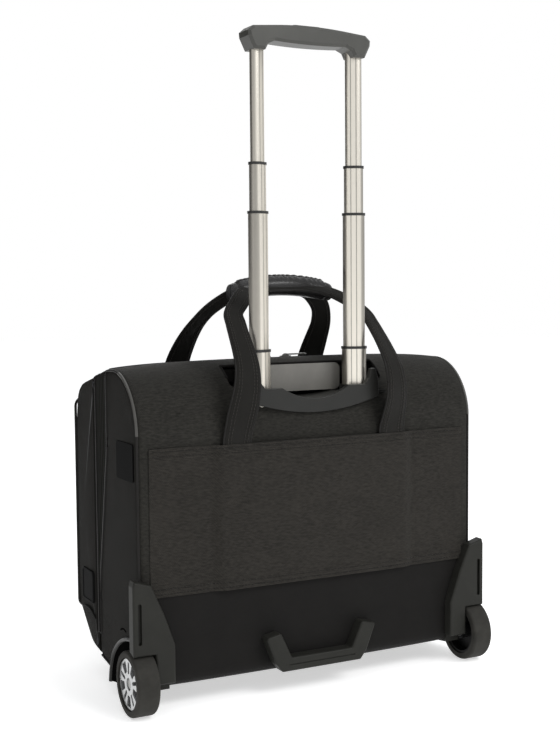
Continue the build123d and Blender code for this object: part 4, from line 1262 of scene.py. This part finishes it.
front_profile = profile_curve(
    [(p.x + n.x * 2.6, p.y + n.y * 2.6)
     for p, n in list(zip(front_arc, arc_normals(front_arc)))[::-1]
     if p.y > 262 and p.x < BACK_Y - 199][::2]
    + [(BACK_Y - 192.0, 366.0), (BACK_Y - 179.0, 385.0), (BACK_Y - 162.0, 405.0),
       (BACK_Y - 140.0, 427.0), (BACK_Y - 115.0, 452.0), (CARRY_Y - 9.0, CARRY_Z)]
)
front_strap = handle(
    "front_carry_strap", front_profile, -1,
    [(262, 97, 34), (290, 97, 34), (320, 96.5, 34), (350, 96, 34), (385, 94.5, 32),
     (412, 91, 27), (428, 86, 23), (444, 76, 21)],
    4.2, math.radians(8),
)
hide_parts("front_handle_straps", "front_strap_anchors")
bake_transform(front_strap)


def grip_half(name, side, body, node):
    """Half of the leather grip: arched, puckered along its seam and stitched at both ends."""
    shape = Shape()
    half_l = 66.5
    steps, sides = 84, 18
    rows = []
    for i in range(steps + 1):
        s = 2 * i / steps - 1
        x = s * half_l
        end = 1 - abs(s)
        tuck = 1 - 0.16 * math.exp(-((end * half_l - 7.0) / 1.6) ** 2)
        cuff = 0.86 + 0.14 * smoothstep(0.0, 0.16, end)
        row = []
        for k in range(sides + 1):
            a = math.pi * k / sides
            y = math.sin(a)
            z = math.cos(a)
            pleat = 0.0
            if z > -0.4:
                strength = smoothstep(0.2, 0.9, z) * (0.35 + 0.65 * smoothstep(0.75, -0.1, s))
                pleat = (math.sin(x * 0.85 + 2.0 * math.sin(x * 0.13)) * 0.9
                         + math.sin(x * 1.9 + 1.3) * 0.35) * strength * smoothstep(0.04, 0.2, end)
            radius_y = (14.6 + pleat * 0.6) * cuff * tuck
            radius_z = (12.2 + pleat * 0.5) * cuff * tuck
            row.append(Vector((
                x, CARRY_Y + side * (0.5 + y * radius_y),
                CARRY_Z + 0.6 + z * radius_z - 8.5 * s * s,
            )))
        rows.append(row)
    shape.grid(rows)
    flat = []
    for row in rows:
        flat.append([row[0], row[0].lerp(row[-1], 0.33), row[0].lerp(row[-1], 0.66), row[-1]])
    shape.grid(flat)
    for row in (rows[0], rows[-1]):
        centre = sum(row, Vector()) / len(row)
        shape.fan(row, centre)
    for i in (5, steps - 5):
        middle = (rows[i][0] + rows[i][-1]) / 2
        path = [p + (p - middle).normalized() * 0.3 for p in rows[i][1:-1]]
        normals = [(p - middle).normalized() for p in path]
        shape.stitches(path, normals, 1, length=2.4, pitch=3.4)
    welt = [row[0] + Vector((0, side * 0.6, 0.3)) for row in rows[4:-4]]
    shape.tube(welt, 0.9, 0)
    grip = shape.build(name, [LEATHER, STITCH], body, angle=50)
    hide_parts(node)
    return grip


grip_half("rear_leather_grip", 1, "rear_handle", "rear_grip_wrap")
grip_half("front_leather_grip", -1, "front_handle", "front_grip_wrap")

# ================================================================ inside
def pocket_piece(name, body, node, pad):
    """Sewn pocket: padded face towards the front, gussets and a bound mouth."""
    shape = Shape()
    low, high = corners_mm(node)
    half = (high.x - low.x) / 2
    cols, levels = 36, 24
    outer, inner = [], []
    for v in range(levels + 1):
        t = v / levels
        z = low.z + (high.z - low.z) * t
        row_out, row_in = [], []
        for u in range(cols + 1):
            s = 2 * u / cols - 1
            quilt = abs(math.sin(math.pi * 4 * (s + 1) / 2)) ** 0.5 * pad * 0.45
            up = abs(2 * t - 1)
            swell = pad * (1 - s ** 8) * (1 - up ** 8) + quilt * (1 - up ** 6)
            x = s * (half - 1.0)
            row_out.append(Vector((x, low.y + pad * 1.6 - swell, z)))
            row_in.append(Vector((x, low.y + pad * 1.6 + 3.0, z)))
        outer.append(row_out)
        inner.append(row_in)
    shape.slab(outer, inner)
    face_y = inner[0][0].y
    for x in (-half + 0.4, half - 0.4):
        wall = []
        for v in range(levels + 1):
            z = low.z + (high.z - low.z) * v / levels
            fold = 1.4 * math.sin(math.pi * v / levels) * (1 if x < 0 else -1)
            wall.append([
                Vector((x + fold * math.sin(math.pi * k / 6), face_y + (high.y - face_y) * k / 6, z))
                for k in range(7)
            ])
        thick = [[p + Vector((0.9 if x < 0 else -0.9, 0, 0)) for p in r] for r in wall]
        shape.slab(wall, thick)
    mouth = [a.lerp(b, 0.5) + Vector((0, 0, 0.4)) for a, b in zip(outer[-1], inner[-1])]
    shape.tube(mouth, 2.0, 1)
    made = shape.build(name, [LINING, SMOOTH_FABRIC], body, angle=50)
    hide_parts(node)
    return made


pocket_piece("laptop_pocket", "case", "laptop_sleeve", 1.5)
pocket_piece("organiser", "middle", "organiser_pocket", 0.8)

# ================================================================ CAD nodes
NODE_MATERIALS = {
    TUBE_METAL_PAINTED_SHADE: ("stage_?_tubes", "outer_tubes"),
    BLACK_PLASTIC: ("stage_?_collars", "stage_?_guides", "grip_button", "tube_bracket", "front_feet"),
    TROLLEY_PLASTIC: ("grip_lower", "grip_upper"),
    STEEL: ("release_rods", "button_springs", "wheel_bearings*", "axle_*"),
    RIM_SILVER: ("rim_*",),
    TYRE_RUBBER: ("tyre_*",),
    DARK_PLASTIC: ("wheel_bracket*", "corner_guard*", "skid_bar"),
    LIP_PLASTIC: ("handle_housing",),
    GREY_PLASTIC: ("recess_plate",),
    TAB_RUBBER: ("end_tabs",),
    BOARD: ("base_plate", "back_board"),
    SLIDER_METAL: ("main_slider*", "front_slider*"),
    SMOOTH_FABRIC: ("*",),
}
for name, node in NODES.items():
    finish = next(
        material for material, patterns in NODE_MATERIALS.items()
        if any(fnmatch.fnmatch(name, pattern) for pattern in patterns)
    )
    node.data.materials.clear()
    node.data.materials.append(finish)

# ================================================================ floor, light and camera
floor_shape = Shape()
FLOOR_R = 9000.0
floor_rows = [[Vector((*p, 0)) for p in disc((0, 0), FLOOR_R * s, 48)] for s in (1.0, 0.4, 0.12, 0.02)]
floor_shape.grid(floor_rows, loop=True)
floor_shape.add(floor_rows[-1], [list(range(48))])
floor_graph = Graph("pale_floor")
floor_graph.colour(floor_graph.ramp(floor_graph.noise(160.0, 2.0),
                                    [(0.2, (0.83, 0.83, 0.83)), (0.8, (0.86, 0.86, 0.86))]))
floor_graph.set(rough=0.75, spec=0.2, glow=0.55)
floor = floor_shape.build("floor", [floor_graph.material])
for face in floor.data.polygons:
    if face.normal.z < 0:
        floor.data.flip_normals()
        break

world = bpy.data.worlds.new("studio")
bpy.context.scene.world = world
world.use_nodes = True
sky = world.node_tree


def sky_node(kind, **sockets):
    """World node with sockets set or linked; n0, n1 and n2 name them by place."""
    made = sky.nodes.new(kind)
    for name, value in sockets.items():
        socket = made.inputs[int(name[1]) if name in ("n0", "n1", "n2") else name]
        if isinstance(value, bpy.types.NodeSocket):
            sky.links.new(value, socket)
        else:
            socket.default_value = value
    return made


# Camera rays see white; the light that the surroundings give falls off behind the case.
BEHIND = (0.45, -0.89, 0.0)
heading = sky_node("ShaderNodeTexCoord")
behind = sky_node("ShaderNodeVectorMath", n0=heading.outputs["Generated"], n1=BEHIND)
behind.operation = "DOT_PRODUCT"
fade = sky_node("ShaderNodeMapRange", Value=behind.outputs["Value"], **{
    "From Min": 0.35, "From Max": 0.7, "To Min": 0.7, "To Max": 0.04,
})
lit = sky_node("ShaderNodeBackground", Color=(0.98, 0.99, 1.0, 1),
               Strength=fade.outputs["Result"])
white = sky_node("ShaderNodeBackground", Color=(1, 1, 1, 1), Strength=1.0)
rays = sky_node("ShaderNodeLightPath")
choose = sky_node("ShaderNodeMixShader", n0=rays.outputs["Is Camera Ray"], n1=lit.outputs[0],
                  n2=white.outputs[0])
sky.links.new(choose.outputs[0], sky.nodes["World Output"].inputs["Surface"])


def soft_light(name, place, aim, size, power, colour=(1, 1, 1)):
    data = bpy.data.lights.new(name, "AREA")
    data.shape = "RECTANGLE"
    data.size, data.size_y = size
    data.energy = power
    data.color = colour
    lamp = bpy.data.objects.new(name, data)
    bpy.context.scene.collection.objects.link(lamp)
    lamp.location = place
    lamp.rotation_euler = (Vector(aim) - Vector(place)).to_track_quat("-Z", "Y").to_euler()
    return lamp


soft_light("key", (-0.9, 2.0, 2.1), (0, 0.05, 0.3), (1.4, 1.0), 38)
soft_light("top", (0.2, -0.1, 2.4), (0, 0, 0.3), (1.6, 1.6), 5)
soft_light("left_fill", (2.3, 0.7, 1.1), (0.1, 0, 0.3), (0.9, 1.8), 1.5)
soft_light("front_fill", (-0.6, -2.4, 1.3), (0, 0, 0.3), (1.8, 1.4), 9)

lens = bpy.data.cameras.new("camera")
lens.lens, lens.sensor_width = 59.5, 36.0
lens.clip_start, lens.clip_end = 0.05, 60.0
camera = bpy.data.objects.new("camera", lens)
bpy.context.scene.collection.objects.link(camera)
CAMERA_PLACE = (0.6927, 1.34357, 0.4767)
YAW, PITCH, ROLL = (math.radians(a) for a in (27.4, 4.27, -0.45))
level = math.cos(PITCH)
ahead = Vector((-math.sin(YAW) * level, -math.cos(YAW) * level, -math.sin(PITCH)))
right = ahead.cross(UP).normalized()
above = right.cross(ahead)
tilted_right = math.cos(ROLL) * right + math.sin(ROLL) * above
tilted_up = math.cos(ROLL) * above - math.sin(ROLL) * right
turn = Matrix((tilted_right, tilted_up, -ahead)).transposed()
camera.matrix_world = Matrix.Translation(CAMERA_PLACE) @ turn.to_4x4()
bpy.context.scene.camera = camera
bpy.context.scene.view_settings.view_transform = "Standard"
